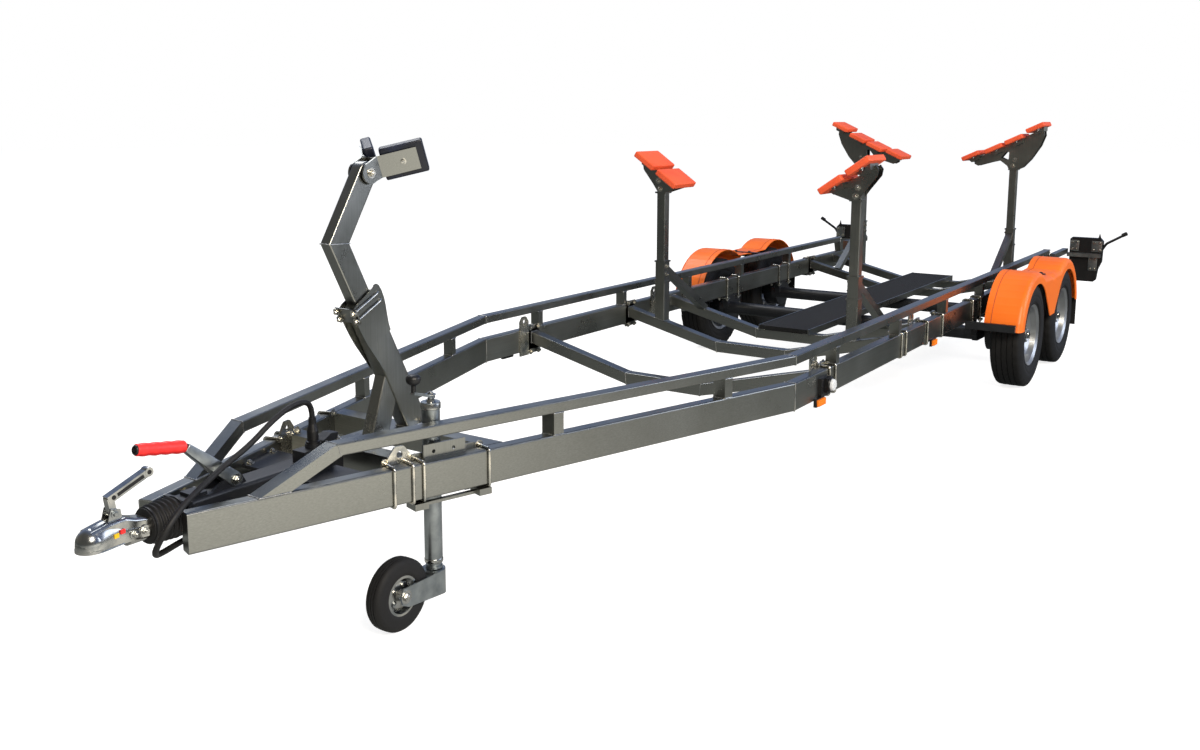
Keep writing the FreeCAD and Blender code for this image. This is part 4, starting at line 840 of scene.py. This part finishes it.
for end in HEADS:
    outward, lift = PAD_SHIFT[end]
    blocks = [soft_block(c + across * outward + up * lift, Vector((1, 0, 0)), across, up,
                         PAD_HALF[end]) for c, across, up in pad_places(end)]
    pads = piece(f"moulded_pads_{end}", blocks, red_pad, sharp=70)
    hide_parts(f"hull_pads_{end}")
    print(end, "pads", len(blocks))

# %% [markdown]
# Each pad is held by two countersunk bolts from its cradle, with nuts that show from below.

# %% Pad bolts
PAD_BOLT_APART, PAD_UNDER, WASHER = 0.084, 0.0175, 0.003
under_nuts = []
for end in HEADS:
    for centre, _, up in pad_places(end):
        for x in (-PAD_BOLT_APART, PAD_BOLT_APART):
            spot = centre + Vector((x, 0, 0)) - up * PAD_UNDER
            under_nuts.append(spun([(15, -3), (15, 0.4)], spot, up, 24))
            under_nuts += hexagon(spot - up * WASHER, -up, 13, 7, 4)
piece("pad_nuts", under_nuts, dull_zinc)
print("pad nuts", len(under_nuts) // 4)

# %% [markdown]
# ## Along the side beams
# The beams run outward to a knee 2414 mm back and then straight. Clamps, welds and lamps
# are all measured along them, so one function places a point on a beam: the station, the
# distance along the beam from it, the distance inward from the outer face, and the height.

# %% Points on a beam
KNEE_X, FRONT_HALF, HALF, BEAM_WIDE = 2414.0, 114.0, 863.0, 50.0
BEAM_LOW, BEAM_TOP, RAIL_LOW, RAIL_TOP = 427.0, 547.0, 625.0, 665.0
SLOPE = math.atan2(HALF - FRONT_HALF, KNEE_X)


def beam_faces(x):
    """Distances of the outer and the inner face from the middle plane."""
    sloping = FRONT_HALF + x * math.tan(SLOPE)
    return min(sloping, HALF), min(sloping - BEAM_WIDE / math.cos(SLOPE), HALF - BEAM_WIDE)


def on_beam(station, along, inward, z, side):
    turn = SLOPE if station < KNEE_X else 0.0
    x = station + along * math.cos(turn) + inward * math.sin(turn)
    y = beam_faces(station)[0] + along * math.sin(turn) - inward * math.cos(turn)
    return at(x, side * y, z)


def inward_of(station, side):
    turn = SLOPE if station < KNEE_X else 0.0
    return Vector((math.sin(turn), -side * math.cos(turn), 0))


def on_face(x, face, z, side):
    """A point on a beam's outer face, numbered 0, or on its inner one, numbered 1."""
    return at(x, side * beam_faces(x)[face], z)


print("outer face at the knee", round(beam_faces(KNEE_X)[0]))

# %% [markdown]
# Square shackles grip the beams in pairs. Each rod ends in a nut on the beam's inner side,
# on the plate that the pair pulls on, and the cross members end in such plates. The axles
# hang on bolts whose heads show below the beams.

# %% Shackle nuts and end plates
PLATE, PLATED = 8.0, (2808, 3772, 6500)
SHACKLES = (616, 680, 717, 954, 2774, 2842, 3738, 3806, 4158, 4430, 6466, 6534)
AXLE_PADS = (5117, 5969)
for name, side in SIDES:
    nuts, plates = [], []
    for x in SHACKLES:
        for z in (BEAM_TOP + 5, BEAM_LOW - 5):
            spot = on_beam(x, 0, BEAM_WIDE + PLATE - 0.5, z, side)
            nuts += hexagon(spot, inward_of(x, side), 16, 9, 5.5)
    for x in AXLE_PADS:
        for bolt_x in (x - 85, x + 85):
            for inward in (-6, 56):
                spot = on_beam(bolt_x, 0, inward, BEAM_LOW - 17.5, side)
                nuts += hexagon(spot, (0, 0, -1), 19, 11, 6)
    for x in PLATED:
        corners = [on_beam(x, along, BEAM_WIDE, z, side)
                   for along, z in rectangle(-50, 50, BEAM_LOW - 16, BEAM_TOP + 16)]
        plates.append(slab(corners, PLATE, side))
    piece(f"shackle_nuts_{name}", nuts, bolt_steel)
    piece(f"end_plates_{name}", plates, stainless["z"], round_mm=1.5)
print("nuts on each side", len(SHACKLES) * 2 + 8)

# %% [markdown]
# ## Weld seams
# Every joint of the frame is TIG welded, and the seams are left bright against the satin
# tubes. They are thin rods with a ripple every 6 mm, laid round the uprights, the bends of
# the rails, the ends of the cross members and the feet of the posts.

# %% Seams on the beams and rails
UPRIGHTS = (1234, 2035, 2872, 3712, 4510, 5270, 6080)
RAIL_BENDS = (((438, RAIL_TOP), (447.4, RAIL_LOW)), ((7120, RAIL_TOP), (7105, RAIL_LOW)),
              ((KNEE_X, RAIL_TOP), (KNEE_X, RAIL_LOW)), ((KNEE_X, BEAM_TOP), (KNEE_X, BEAM_LOW)))
seams = []
for _, side in SIDES:
    for x in UPRIGHTS:
        for z in (BEAM_TOP, RAIL_LOW):
            foot = rectangle(x - 20, x + 20, 0, 1)
            seams.append(seam([on_face(px, face, z, side) for px, face in foot]))
    for (x0, z0), (x1, z1) in RAIL_BENDS:
        bend = ((x0, 0, z0), (x1, 0, z1), (x1, 1, z1), (x0, 1, z0))
        seams.append(seam([on_face(*spot, side) for spot in bend], 1.8))
    rail_foot = rectangle(200, 290, 0, 1)
    seams.append(seam([on_face(px, face, BEAM_TOP, side) for px, face in rail_foot]))
    nose = rectangle(3, 47, BEAM_TOP - 3, BEAM_LOW + 3)
    seams.append(seam([on_beam(0, 1.5, inward, z, side) for inward, z in nose], 2.0))
piece("rail_and_beam_seams", seams, weld_metal, sharp=60)
print("rail and beam seams", len(seams))

# %% [markdown]
# The cross members drop from the beams to a flat middle, so a seam goes round each tube at
# the drop and at the beam. The hull posts stand on them with a seam round the foot, and a
# brace meets each post about 760 mm above the ground.

# %% Seams on the cross members and posts
CROSS = (2808, 3772, 4290, 6500, 7000)
CROSS_TOP, CROSS_END, CROSS_FLAT, TUBE_HIGH, TUBE_HALF = 383.0, 530.0, 215.0, 60.0, 30.0
POST_Y, POST_HALF = 590.0, 32.0
BRACE_LOW, BRACE_HIGH, BRACE_HALF = 737, 788, 23
rise = (CROSS_END - CROSS_TOP) / (HALF - BEAM_WIDE - CROSS_FLAT)


def cross_top(y):
    return CROSS_TOP + rise * max(abs(y) - CROSS_FLAT, 0)


seams = []
for x in CROSS:
    end_y = HALF - BEAM_WIDE - (PLATE if x in PLATED else 0)
    for _, side in SIDES:
        for y, drop, lean in ((CROSS_FLAT, TUBE_HIGH, -7.0), (end_y, TUBE_HIGH * 1.03, 0.0)):
            top = cross_top(y)
            loop = [(x - TUBE_HALF, y, top), (x + TUBE_HALF, y, top),
                    (x + TUBE_HALF, y + lean, top - drop), (x - TUBE_HALF, y + lean, top - drop)]
            seams.append(seam([at(px, side * py, pz) for px, py, pz in loop], 2.2))
for x, back in ((3772, 1), (7000, -1)):
    for _, side in SIDES:
        foot = rectangle(-POST_HALF, POST_HALF, -POST_HALF, POST_HALF)
        seams.append(seam([at(x + dx, side * (POST_Y + dy), cross_top(POST_Y + dy))
                           for dx, dy in foot]))
        brace = rectangle(-BRACE_HALF, BRACE_HALF, BRACE_HIGH, BRACE_LOW)
        seams.append(seam([at(x + back * 31, side * (POST_Y + dy), z) for dy, z in brace], 2.2))
piece("cross_member_seams", seams, weld_metal, sharp=60)
print("cross member and post seams", len(seams))

# %% [markdown]
# ## Winch post
# The raked post is a tube with a brace, and two cheeks on its sides flare out at the top
# like a collar. Two U bolts round them grip the bent upper tube, with their nuts in front.
# The cheeks are flat plates, so one outline is drawn in the post's own slant and laid on
# each side. The upper tube's bend is a mitre with one bright seam round it.

# %% Sections of a leaning tube
FOOT, ELBOW, HEAD = at(1022, 0, 559), at(683, 0, 1236), at(820, 0, 1460)
rake = (ELBOW - FOOT).normalized()
upper = (HEAD - ELBOW).normalized()
front_of = Vector((-rake.z, 0, rake.x))
TUBE_TOP = 1.018
cap = FOOT + rake * ((TUBE_TOP - FOOT.z) / rake.z)


def section(spot, deep_way, wide, deep, corner=7.0, steps=4):
    """A rounded rectangle across a post: wide along Y, and deep along its own way."""
    ring = []
    for cy, cd, start in ((1, 1, 0), (-1, 1, 90), (-1, -1, 180), (1, -1, 270)):
        for i in range(steps + 1):
            a = math.radians(start + 90 * i / steps)
            y = cy * (wide / 2 - corner) + corner * math.cos(a)
            d = cd * (deep / 2 - corner) + corner * math.sin(a)
            ring.append(spot + Vector((0, y / 1000, 0)) + deep_way * (d / 1000))
    return ring


def standing(base, top, wide, deep):
    """A leaning tube whose lower end is cut level at the base's height."""
    lean = (top - base).normalized()
    ahead = Vector((-lean.z, 0, lean.x))
    low_ring = [p + lean * ((base.z - p.z) / lean.z) for p in section(base, ahead, wide, deep)]
    return skin([low_ring, section(top, ahead, wide, deep)])


print("post leans", round(math.degrees(rake.angle(Vector((0, 0, 1))))), "degrees")

# %% [markdown]
# The post and its brace stand on a level base, so their feet are cut level. The cheeks'
# outline is counted from the top of the lower tube: first along the post, then ahead.

# %% Post, brace and cheeks
POST_WIDE, POST_DEEP, BRACE_WIDE, BRACE_DEEP = 62.0, 95.0, 52.0, 82.0
CHEEK_THICK, PAST_CAP = 0.0035, 0.02
CHEEK = [(-245, 44), (-225, 49), (-200, 52), (-160, 59), (-120, 66), (-80, 70), (-40, 72),
         (0, 72), (16, 70), (28, 62), (34, 48), (38, 0), (44, -46), (50, -56), (48, -66),
         (38, -73), (16, -76), (-14, -74), (-44, -67), (-74, -58), (-104, -50), (-128, -47),
         (-132, -30), (-126, 0), (-132, 30), (-160, 40)]


def by_cap(along, ahead, y):
    """A point near the tube's top, in millimetres along the post, ahead of it and across."""
    return cap + rake * along / 1000 + front_of * ahead / 1000 + Vector((0, y / 1000, 0))


shapes = [standing(FOOT, cap + rake * PAST_CAP, POST_WIDE, POST_DEEP),
          standing(at(838, 0, 559), at(910, 0, 764), BRACE_WIDE, BRACE_DEEP)]
for _, side in SIDES:
    outline = [by_cap(along, ahead, side * POST_WIDE / 2) for along, ahead in CHEEK]
    shapes.append(skin([outline, [c + Vector((0, side * CHEEK_THICK, 0)) for c in outline]]))
lower = piece("flared_winch_post", shapes, stainless["z"])
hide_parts("winch_post_lower")
print("winch post has", len(lower.data.polygons), "faces")

# %% [markdown]
# Each U bolt is a bent rod round the back of the tube. Its two nuts press a bridge plate
# against the front edges of the cheeks, which clamps the upper tube at its height.

# %% U bolts and bridge plate
BOLT_Y, BOLT_LIFTS, BOLT_BEND = 40, (-10, 20), 14
rods, rod_nuts = [], []
for lift in BOLT_LIFTS:
    bow = [by_cap(lift, ahead, y) for ahead, y in
           ((84, -BOLT_Y), (-59, -BOLT_Y), (-59, BOLT_Y), (84, BOLT_Y))]
    rods.append(swept(bent(bow, BOLT_BEND), 5.0))
    for y in (-BOLT_Y, BOLT_Y):
        rod_nuts += hexagon(by_cap(lift, 74.5, y), front_of, 14, 8, 4)
bridge = [by_cap(along, 69.5, y) for y, along in rectangle(-50, 50, -24, 32)]
piece("post_u_bolts", rods + rod_nuts, bolt_steel)
piece("post_bridge_plate", [slab(bridge, 5)], stainless["y"], round_mm=1.2)
print("post clamp has", len(rods), "U bolts")

# %% [markdown]
# One seam runs round the mitre of the upper tube, where its two halves meet at half the
# bend, and another round the foot. Four bolts hold the base to the cross plate.

# %% Seams and foot bolts of the winch post
UPPER_DEEP_HALF, UPPER_WIDE_HALF = 0.039, 0.023
POST_X, BASE_TOP = 1022, 559
across_high = Vector((-upper.z, 0, upper.x))
middle = (front_of + across_high).normalized()
mitre = middle * (UPPER_DEEP_HALF / middle.dot(front_of))
elbow_ring = rectangle(1, -1, UPPER_WIDE_HALF, -UPPER_WIDE_HALF)
seams = [seam([ELBOW + mitre * m + Vector((0, y, 0)) for m, y in elbow_ring], 1.8)]
half_run, half_wide = POST_DEEP / 2 / abs(rake.z), POST_WIDE / 2
foot = rectangle(-half_run, half_run, -half_wide, half_wide)
seams.append(seam([at(POST_X + dx, y, BASE_TOP) for dx, y in foot]))
piece("winch_post_seams", seams, weld_metal, sharp=60)
foot_bolts = []
for x in (POST_X - 300, POST_X + 44):
    for y in (-62, 62):
        foot_bolts += hexagon(at(x, y, BASE_TOP), (0, 0, 1), 17, 10, 5)
piece("post_foot_bolts", foot_bolts, bolt_steel)
print("foot bolts", len(foot_bolts) // 3)

# %% [markdown]
# ## Bow stop
# Two dark blue rubber cushions line the vee that the bow runs into. The bracket tilts on a
# bolt through the end of the post, so everything here rides on the bow stop's own body.

# %% Bow stop cushions and bolts
PARKED_TILT, VEE = math.radians(-20), math.radians(48)
CUSHION_HALF, CUSHION_CROWN = (74, 56, 19.0), 2.5
tilt = Matrix.Rotation(PARKED_TILT, 3, "Y")


def on_stop(x, y, z):
    """A point of the level bracket, from its pivot, turned to the parked tilt."""
    return HEAD + tilt @ Vector((x, y, z)) / 1000


cushions, stop_bolts = [], []
for _, side in SIDES:
    along = tilt @ Vector((math.cos(VEE), side * math.sin(VEE), 0))
    face = tilt @ Vector((math.sin(VEE), -side * math.cos(VEE), 0))
    rise_up = tilt @ Vector((0, 0, 1))
    root = on_stop(51, side * 29, 4)
    middle = root + along * 0.083 + face * 0.0185
    cushions.append(soft_block(middle, along, rise_up, face, CUSHION_HALF, CUSHION_CROWN))
    stop_bolts += hexagon(on_stop(0, side * 36, 0), tilt @ Vector((0, side, 0)), 18, 11, 3)
    stop_bolts += hexagon(root + along * 0.078 - face * 0.0068, -face, 13, 8, 5)
stop_pads = piece("bow_cushions", cushions, navy_rubber, "bow_stop", sharp=70)
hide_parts("bow_stop_pads")
piece("bow_stop_bolts", stop_bolts, bolt_steel, "bow_stop")
print("bow stop bolts and", len(cushions), "cushions")

# %% [markdown]
# ## Coupling
# The coupling is pressed from one sheet and zinc plated: a smooth bullet nose that widens to
# a rolled lip over the ball, and narrows to a round shank with two cross bolts. A skin of
# curved sections laid over the plain solid gives that flowing shape and leaves the ball
# socket open below.

# %% Coupling skin and lip
NOSE = [(-260.4, 6, 507), (-258, 15, 519), (-252, 25, 531), (-243, 33, 541), (-230, 39, 549),
        (-215, 41.4, 554), (-195, 40, 559), (-172, 36, 561.5), (-145, 33, 561.5),
        (-125, 32, 558), (-105, 32, 549.5), (-88, 33, 544), (-66, 34, 540)]
NOSE_LOW, NOSE_POWER, NOSE_STEPS, LIP_SECTIONS = 490.0, 2.5, 20, 9


def nose_arch(x, wide, top):
    """One section of the nose, squarer than an ellipse, at a station of the drawing."""
    arch = []
    for k in range(NOSE_STEPS + 1):
        a = math.pi * k / NOSE_STEPS
        c, s = math.cos(a), math.sin(a)
        y = wide * math.copysign(abs(c) ** (2 / NOSE_POWER), c)
        arch.append(at(x, y, NOSE_LOW + (top - NOSE_LOW) * abs(s) ** (2 / NOSE_POWER)))
    return arch


rows = [nose_arch(*spot) for spot in NOSE]
n = len(rows[0])
skin_faces = [(j * n + k, j * n + k + 1, (j + 1) * n + k + 1, (j + 1) * n + k)
              for j in range(len(rows) - 1) for k in range(n - 1)]
skin_points = [p for row in rows for p in row]
piece("coupling_skin", [(skin_points, skin_faces + [tuple(range(n))])], bright_zinc,
      sharp=60)
rim_left = [at(x, -w, NOSE_LOW + 1.5) for x, w, _ in reversed(NOSE[:LIP_SECTIONS])]
rim_right = [at(x, w, NOSE_LOW + 1.5) for x, w, _ in NOSE[:LIP_SECTIONS]]
lip = swept([p + Vector((0.0022, 0, 0)) for p in rim_left + rim_right], 2.2, 8)
piece("coupling_lip", [lip], dull_zinc, sharp=60)
print("coupling skin has", len(skin_faces), "faces")

# %% [markdown]
# The catch stands open over the nose, as it does when the trailer is parked. Its two sides
# each carry a long pressed groove and two round holes, drawn as thin black plates: painted shade
# for the recess and the holes.
# A yellow and a red mark on the side tell how worn the coupling is.

# %% Coupling bolts, catch and wear marks
CATCH_PIVOT, CATCH_END, CATCH_ROOT_X, CATCH_ROOT_Z = at(-154, 0, 575), at(-41, 0, 662), -161, 616
GROOVE_LONG, GROOVE_HALF, HOLE = 0.088, 0.005, [(6.5, 0), (6.5, 0.5), (0.5, 0.6)]
bolts = []
for x in (-108, -78):
    for _, side in SIDES:
        bolts += hexagon(at(x, side * 32.6, 507), (0, side, 0), 17, 9, 4)
for _, side in SIDES:
    bolts += hexagon(CATCH_PIVOT + Vector((0, side * 0.0175, 0)), (0, side, 0), 13, 6, 0)
bolts.append(spun([(13, -12.6), (13.5, -10), (13.5, 10), (13, 12.6), (6, 12.8)], CATCH_END,
                  (0, 1, 0), 28))
piece("coupling_bolts", bolts, bright_zinc)
groove_way = (CATCH_END - at(CATCH_ROOT_X, 0, CATCH_ROOT_Z)).normalized()
groove_up = Vector((-groove_way.z, 0, groove_way.x))
# Thin black plates, painted shade in each pressed groove and hole of the zinc catch.
grooves = []
for _, side in SIDES:
    start = at(CATCH_ROOT_X, side * 12.0, CATCH_ROOT_Z) + groove_way * 0.022
    corners = [start + groove_way * along + groove_up * up
               for along, up in rectangle(0, GROOVE_LONG, -GROOVE_HALF, GROOVE_HALF)]
    grooves.append(slab(corners, 0.5, side))
    for spot in (start - groove_way * 0.012, Vector((CATCH_END.x, side * 0.0128, CATCH_END.z))):
        grooves.append(spun(HOLE, spot, (0, side, 0), 24))
piece("catch_groove_shade_plates", grooves, moulded_black)
for name, x, y, z, finish, slot in (
        ("wear_mark_yellow", -172, -34.4, 514, yellow_mark, "amber_lens"),
        ("wear_mark_red", -152, -32.6, 520, red_grip, "red_plastic")):
    corners = [at(x + dx, y + 1.6 * dx / 14, z + dz) for dx, dz in rectangle(0, 14, 0, 12)]
    piece(name, [slab(corners, 3.0)], finish)
print("catch has", len(grooves), "grooves and holes")

# %% [markdown]
# ## Jockey wheel
# A solid rubber tyre with three grooves runs on a pressed zinc rim. The spindle has a bright
# cap and a black knob on its crank, and the wheel's axle is a bolt with a nut on each side
# of the fork.

# %% Jockey tyre, knob, cap and bolts
low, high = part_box("jockey_tyre")
hub_spot = (low + high) / 2
jockey_y = hub_spot.y * 1000
JOCKEY_HALF = [(64, 26), (70, 29.5), (80, 31), (84, 30.2), (100, 31), (110, 28.5), (116, 24),
               (119.2, 18.5), (119.5, 12.5), (116, 12), (116, 9.5), (120, 9), (120, 1.8),
               (116.5, 1.2)]
tread = JOCKEY_HALF + [(r, -y) for r, y in reversed(JOCKEY_HALF)] + [(62, -26), (62, 26)]
tyre = piece("grooved_jockey_tyre", [spun(tread, hub_spot, (0, 1, 0), 72, closed=True)],
             tyre_rubber, "jockey_wheel", sharp=28)
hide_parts("jockey_tyre")
rim_bolts, axle_nuts = [], []
for _, side in SIDES:
    for spot in five_round(hub_spot, side * 0.0135, 0.034):
        rim_bolts += hexagon(spot, (0, side, 0), 10, 6, 2)
    axle_nuts += hexagon(hub_spot + Vector((0, side * 0.0405, 0)), (0, side, 0), 24, 11, 2)
piece("jockey_rim_bolts", rim_bolts, bright_zinc, "jockey_wheel")
piece("jockey_axle_nuts", axle_nuts, bright_zinc, "jockey_swivel")
SPINDLE_X, UPRIGHT = 818, (0, 0, 1)
KNOB = [(8, 0), (8, 22), (13, 25), (22, 32), (25, 42), (24, 50), (17, 57), (0.5, 58)]
TUBE_CAP = [(31, -1), (33, 1), (33, 17), (31, 21), (14, 22.5), (13, 30), (10, 32)]
TUBE_FOOT = [(30.2, 0), (31.5, 2), (31.5, 12), (30.2, 14)]
knob = spun(KNOB, at(740, jockey_y, 768), UPRIGHT, 40)
knob = piece("crank_knob", [knob], moulded_black, sharp=50)
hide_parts("jockey_knob")
cap_ring = spun(TUBE_CAP, at(SPINDLE_X, jockey_y, 700), UPRIGHT, 48)
foot_ring = spun(TUBE_FOOT, at(SPINDLE_X, jockey_y, 173), UPRIGHT, 48)
crank_nut = hexagon(at(SPINDLE_X, jockey_y, 745.5), UPRIGHT, 19, 8, 3)
piece("jockey_cap", [cap_ring, foot_ring] + crank_nut, bright_zinc)
print("jockey wheel dressed")

# %% [markdown]
# ## Mudguards
# Each mudguard is one vacuum formed shell. A narrow groove runs over both arches near the
# inner edge, the outer wall ends in a rolled lip round each wheel, and black screws hold
# the shell to its stays. The groove and the lip follow one side view: two arcs round the
# wheels' places, joined by a saddle.

# %% Side view of a mudguard
AXLES, GUARD_R, GUARD_Z, GUARD_LOW = (5307.0, 6159.0), 387.0, 331.0, 396.0
GUARD_OUT, LIP_R, GROOVE_Y = 1184.0, 318.0, 1002
saddle = sum(AXLES) / 2


def arc(x, radius, start, end, steps=16):
    """Part of a circle round a wheel's place, from one angle in degrees to another."""
    angles = [math.radians(start + (end - start) * i / steps) for i in range(steps + 1)]
    return [(x + radius * math.cos(a), GUARD_Z + radius * math.sin(a)) for a in angles]


def over_arches(radius):
    """Side view of the double arch, from the front edge to the rear edge."""
    foot = math.degrees(math.asin((GUARD_LOW - GUARD_Z) / radius))
    dip = [(saddle + dx, GUARD_Z + radius * share)
           for dx, share in ((-60, 0.84), (0, 0.815), (60, 0.84))]
    return arc(AXLES[0], radius, 180 - foot, 58) + dip + arc(AXLES[1], radius, 122, foot)


print("arches have", len(over_arches(GUARD_R)), "points")

# %% [markdown]
# The groove is a thin rod sunk in the shell, its darker orange a painted shade for the groove,
# as a cut would need the whole shell again. The lips run round the wheels on the outer wall
# and meet below the saddle.

# %% Mudguard grooves, lips, screws and stay ends
LIPS = ((AXLES[0], 168, 36, 1), (AXLES[1], 12, 144, -1))
WIDE_HEAD, SMALL_HEAD = [(11, -1), (11, 1.5), (8, 5), (1, 6)], [(9, -1), (9, 1.5), (6, 4), (1, 5)]
for name, side in SIDES:
    groove = swept([at(x, side * GROOVE_Y, z) for x, z in over_arches(GUARD_R - 0.6)], 2.8, 6)
    piece(f"guard_grooves_{name}", [groove], orange_shadow, sharp=60)
    lips = []
    for x, start, end, way in LIPS:
        line = arc(x, LIP_R, start, end) + [(saddle - way * 58, GUARD_LOW + 4)]
        lips.append(swept([at(px, side * (GUARD_OUT - 3.5), pz) for px, pz in line], 4.0, 10))
    piece(f"guard_lips_{name}", lips, orange_guard, sharp=60)
    screws = []
    for y in (1010, 1120):
        screws.append(spun(WIDE_HEAD, at(4925.5, side * y, 418), (-1, 0, 0), 20))
    for y in (990, 1100):
        screws.append(spun(WIDE_HEAD, at(saddle, side * y, 661), (0, 0, 1), 20))
        screws.append(spun(SMALL_HEAD, at(6540.5, side * (y + 10), 372), (1, 0, 0), 20))
    piece(f"guard_screws_{name}", screws, moulded_black)
    end = [at(x, side * 1150, z) for x, z in rectangle(4903, 4924, 398, 438)]
    piece(f"stay_end_{name}", [slab(end, 2, side)], bolt_steel, round_mm=0.8)
print("mudguards dressed")

# %% [markdown]
# ## Lamps and tail boards
# A round white marker lamp sits in a black bezel on its bracket, with an amber reflector
# under it. At the rear each board carries three zinc bracket plates with bolts. The packed
# nodes join parts of different finishes, so some of their faces are given a second one.

# %% A second finish on part of a node
LAMP_X, LAMP_Z = 2728.0, 484.0
TAIL_X, TAIL_OUT, TAIL_IN, TAIL_TOP = 7780.0, 1120.0, 874.0, 708.0
SECOND_FINISHES = (
    ("side_lamps", white_lens, lambda x, y, z: abs(x - LAMP_X) < 30 and z > 450),
    ("tail_board", stainless["x"], lambda x, y, z: x < TAIL_X - 41),
    ("tail_board", dull_zinc, lambda x, y, z: (TAIL_X - 41 <= x <= TAIL_X - 1 and y > 860
                                               and abs(z - TAIL_TOP + 138) < 16)),
    ("tail_lamps", soft_rubber, lambda x, y, z: y > 1200))


def repaint(node_name, finish, test):
    """Gives another finish to the faces whose middle passes the test, in drawing points."""
    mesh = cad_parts[node_name].data
    mesh.materials.append(finish)
    count = 0
    for face in mesh.polygons:
        x, y, z = (face.center - at(0, 0, 0)) * 1000
        if test(x, abs(y), z):
            face.material_index = len(mesh.materials) - 1
            count += 1
    print(node_name, finish.name, count, "faces")


for name, _ in SIDES:
    for node_name, finish, test in SECOND_FINISHES:
        repaint(f"{node_name}_{name}", finish, test)

# %% [markdown]
# The bezel and the lens are spun. A reflector's ribs are thin upright rods on its face, as
# a flat face would shine like a single pane.

# %% Marker lamps and reflectors
BEZEL = [(34, 0), (34, 5), (31, 9), (27.5, 10), (27.5, 0)]
LENS = [(26, 18), (25.5, 20.5), (20, 23), (12, 24.5), (11, 23.5), (9, 24.5), (0.5, 25)]
LAMP_FEET = ((-50, 30), (-50, -30), (-62, 0))
REFLECTORS = (("front", 2654, HALF + 24, 419, 76, 28), ("rear", 4254, HALF + 22, 420, 66, 30))
RIB_PITCH, RIB_R = 6, 1.2


def dress_marker_lamp(name, side):
    out = (0, side, 0)
    middle = at(LAMP_X, side * (HALF + 26), LAMP_Z)
    shapes = [spun(BEZEL, middle, out, 48, closed=True)]
    for dx, dz in LAMP_FEET:
        foot = at(LAMP_X + dx, side * (HALF + 14), LAMP_Z + dz)
        shapes.append(spun([(5, 0), (5, 2), (1, 3)], foot, out, 14))
    piece(f"lamp_bezel_{name}", shapes, moulded_black)
    piece(f"lamp_lens_{name}", [spun(LENS, middle, out, 40)], white_lens,
          sharp=60)
    for end, x, y, z, wide, high in REFLECTORS:
        reach = high / 2 - 4
        first = x - wide / 2 + 8
        ribs = [spun([(RIB_R, -reach), (RIB_R, reach)], at(first + i * RIB_PITCH, side * y, z),
                     (0, 0, 1), 8) for i in range(int((wide - 16) / RIB_PITCH) + 1)]
        piece(f"reflector_ribs_{end}_{name}", ribs, amber, sharp=60)


print("a marker lamp has", len(LAMP_FEET), "feet")

# %% [markdown]
# Each bracket plate lies flat on the front of its board with a bolt in every corner, and a
# small black fin stands on the board's top edge.

# %% Tail boards
BRACKETS = ((TAIL_OUT - 82, TAIL_OUT - 4, TAIL_TOP - 110, TAIL_TOP - 22),
            (TAIL_IN + 4, TAIL_IN + 70, TAIL_TOP - 110, TAIL_TOP - 22),
            (TAIL_OUT - 100, TAIL_OUT - 34, TAIL_TOP - 262, TAIL_TOP - 153))
BOLT_INSET, FIN = 16, ((40, -2), (14, -14), (30, 40))


def dress_tail_board(name, side):
    plates, bolts = [], []
    for y0, y1, z0, z1 in BRACKETS:
        corners = [at(TAIL_X - 6, side * y, z) for z, y in rectangle(z0, z1, y0, y1)]
        plates.append(slab(corners, 2.0, -side))
        for y in (y0 + BOLT_INSET, y1 - BOLT_INSET):
            for z in (z0 + BOLT_INSET, z1 - BOLT_INSET):
                bolts += hexagon(at(TAIL_X - 7.5, side * y, z), (-1, 0, 0), 13, 7, 3)
    piece(f"tail_plates_{name}", plates, dull_zinc, round_mm=0.8)
    piece(f"tail_bolts_{name}", bolts, bolt_steel)
    fin = [at(TAIL_X + 20, side * (TAIL_OUT - inward), TAIL_TOP + up) for inward, up in FIN]
    piece(f"tail_fin_{name}", [slab(fin, 4)], moulded_black)


for name, side in SIDES:
    dress_marker_lamp(name, side)
    dress_tail_board(name, side)
print("lamps and tail boards dressed")

# %% [markdown]
# ## Bolts of the hull posts, the housing and the brake lever
# Two bolts go through the neck of each hull head, two pinch each sleeve, and bolts hold
# the overrun housing on its plates. The lever turns on a bolt with a head on each side.

# %% Remaining bolts
NECK_BOLTS = ((3772, ((POST_Y, 1246), (602, 1292))), (7000, ((POST_Y, 1302), (604, 1348))))
NECK_HALF, SLEEVE_BOLTS, SLEEVE_HALF = 37.6, (742, 790), 29.6
HOUSING_BOLTS, HOUSING_TOP = (92, 178, 452, 578), 523.2
bolts = []
for post_x, spots in NECK_BOLTS:
    for _, side in SIDES:
        for y, z in spots:
            for way in (-1, 1):
                bolts += hexagon(at(post_x + way * NECK_HALF, side * y, z), (way, 0, 0), 19, 10, 4)
        for z in SLEEVE_BOLTS:
            spot = at(post_x, side * (POST_Y - SLEEVE_HALF), z)
            bolts += hexagon(spot, (0, -side, 0), 17, 9, 5)
piece("hull_post_bolts", bolts, bolt_steel)
bolts = []
for x in HOUSING_BOLTS:
    for _, side in SIDES:
        spot = at(x, side * (beam_faces(x)[1] - 16), HOUSING_TOP)
        bolts += hexagon(spot, (0, 0, 1), 17, 9, 4)
for y, way in ((-30, -1), (25, 1)):
    bolts += hexagon(LEVER_PIVOT + Vector((0, y / 1000, 0)), (0, way, 0), 19, 10, 4)
piece("housing_bolts", bolts, bolt_steel)
print("bolts are in place")

# %% [markdown]
# The last cell keeps the box of the imported solids and the box of what is seen now, so that
# the two can be compared.

# %% Keep both boxes
low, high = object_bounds()
print("cad", [round(v, 4) for v in (*cad_low, *cad_high)])
print("visual", [round(v, 4) for v in (*low, *high)])
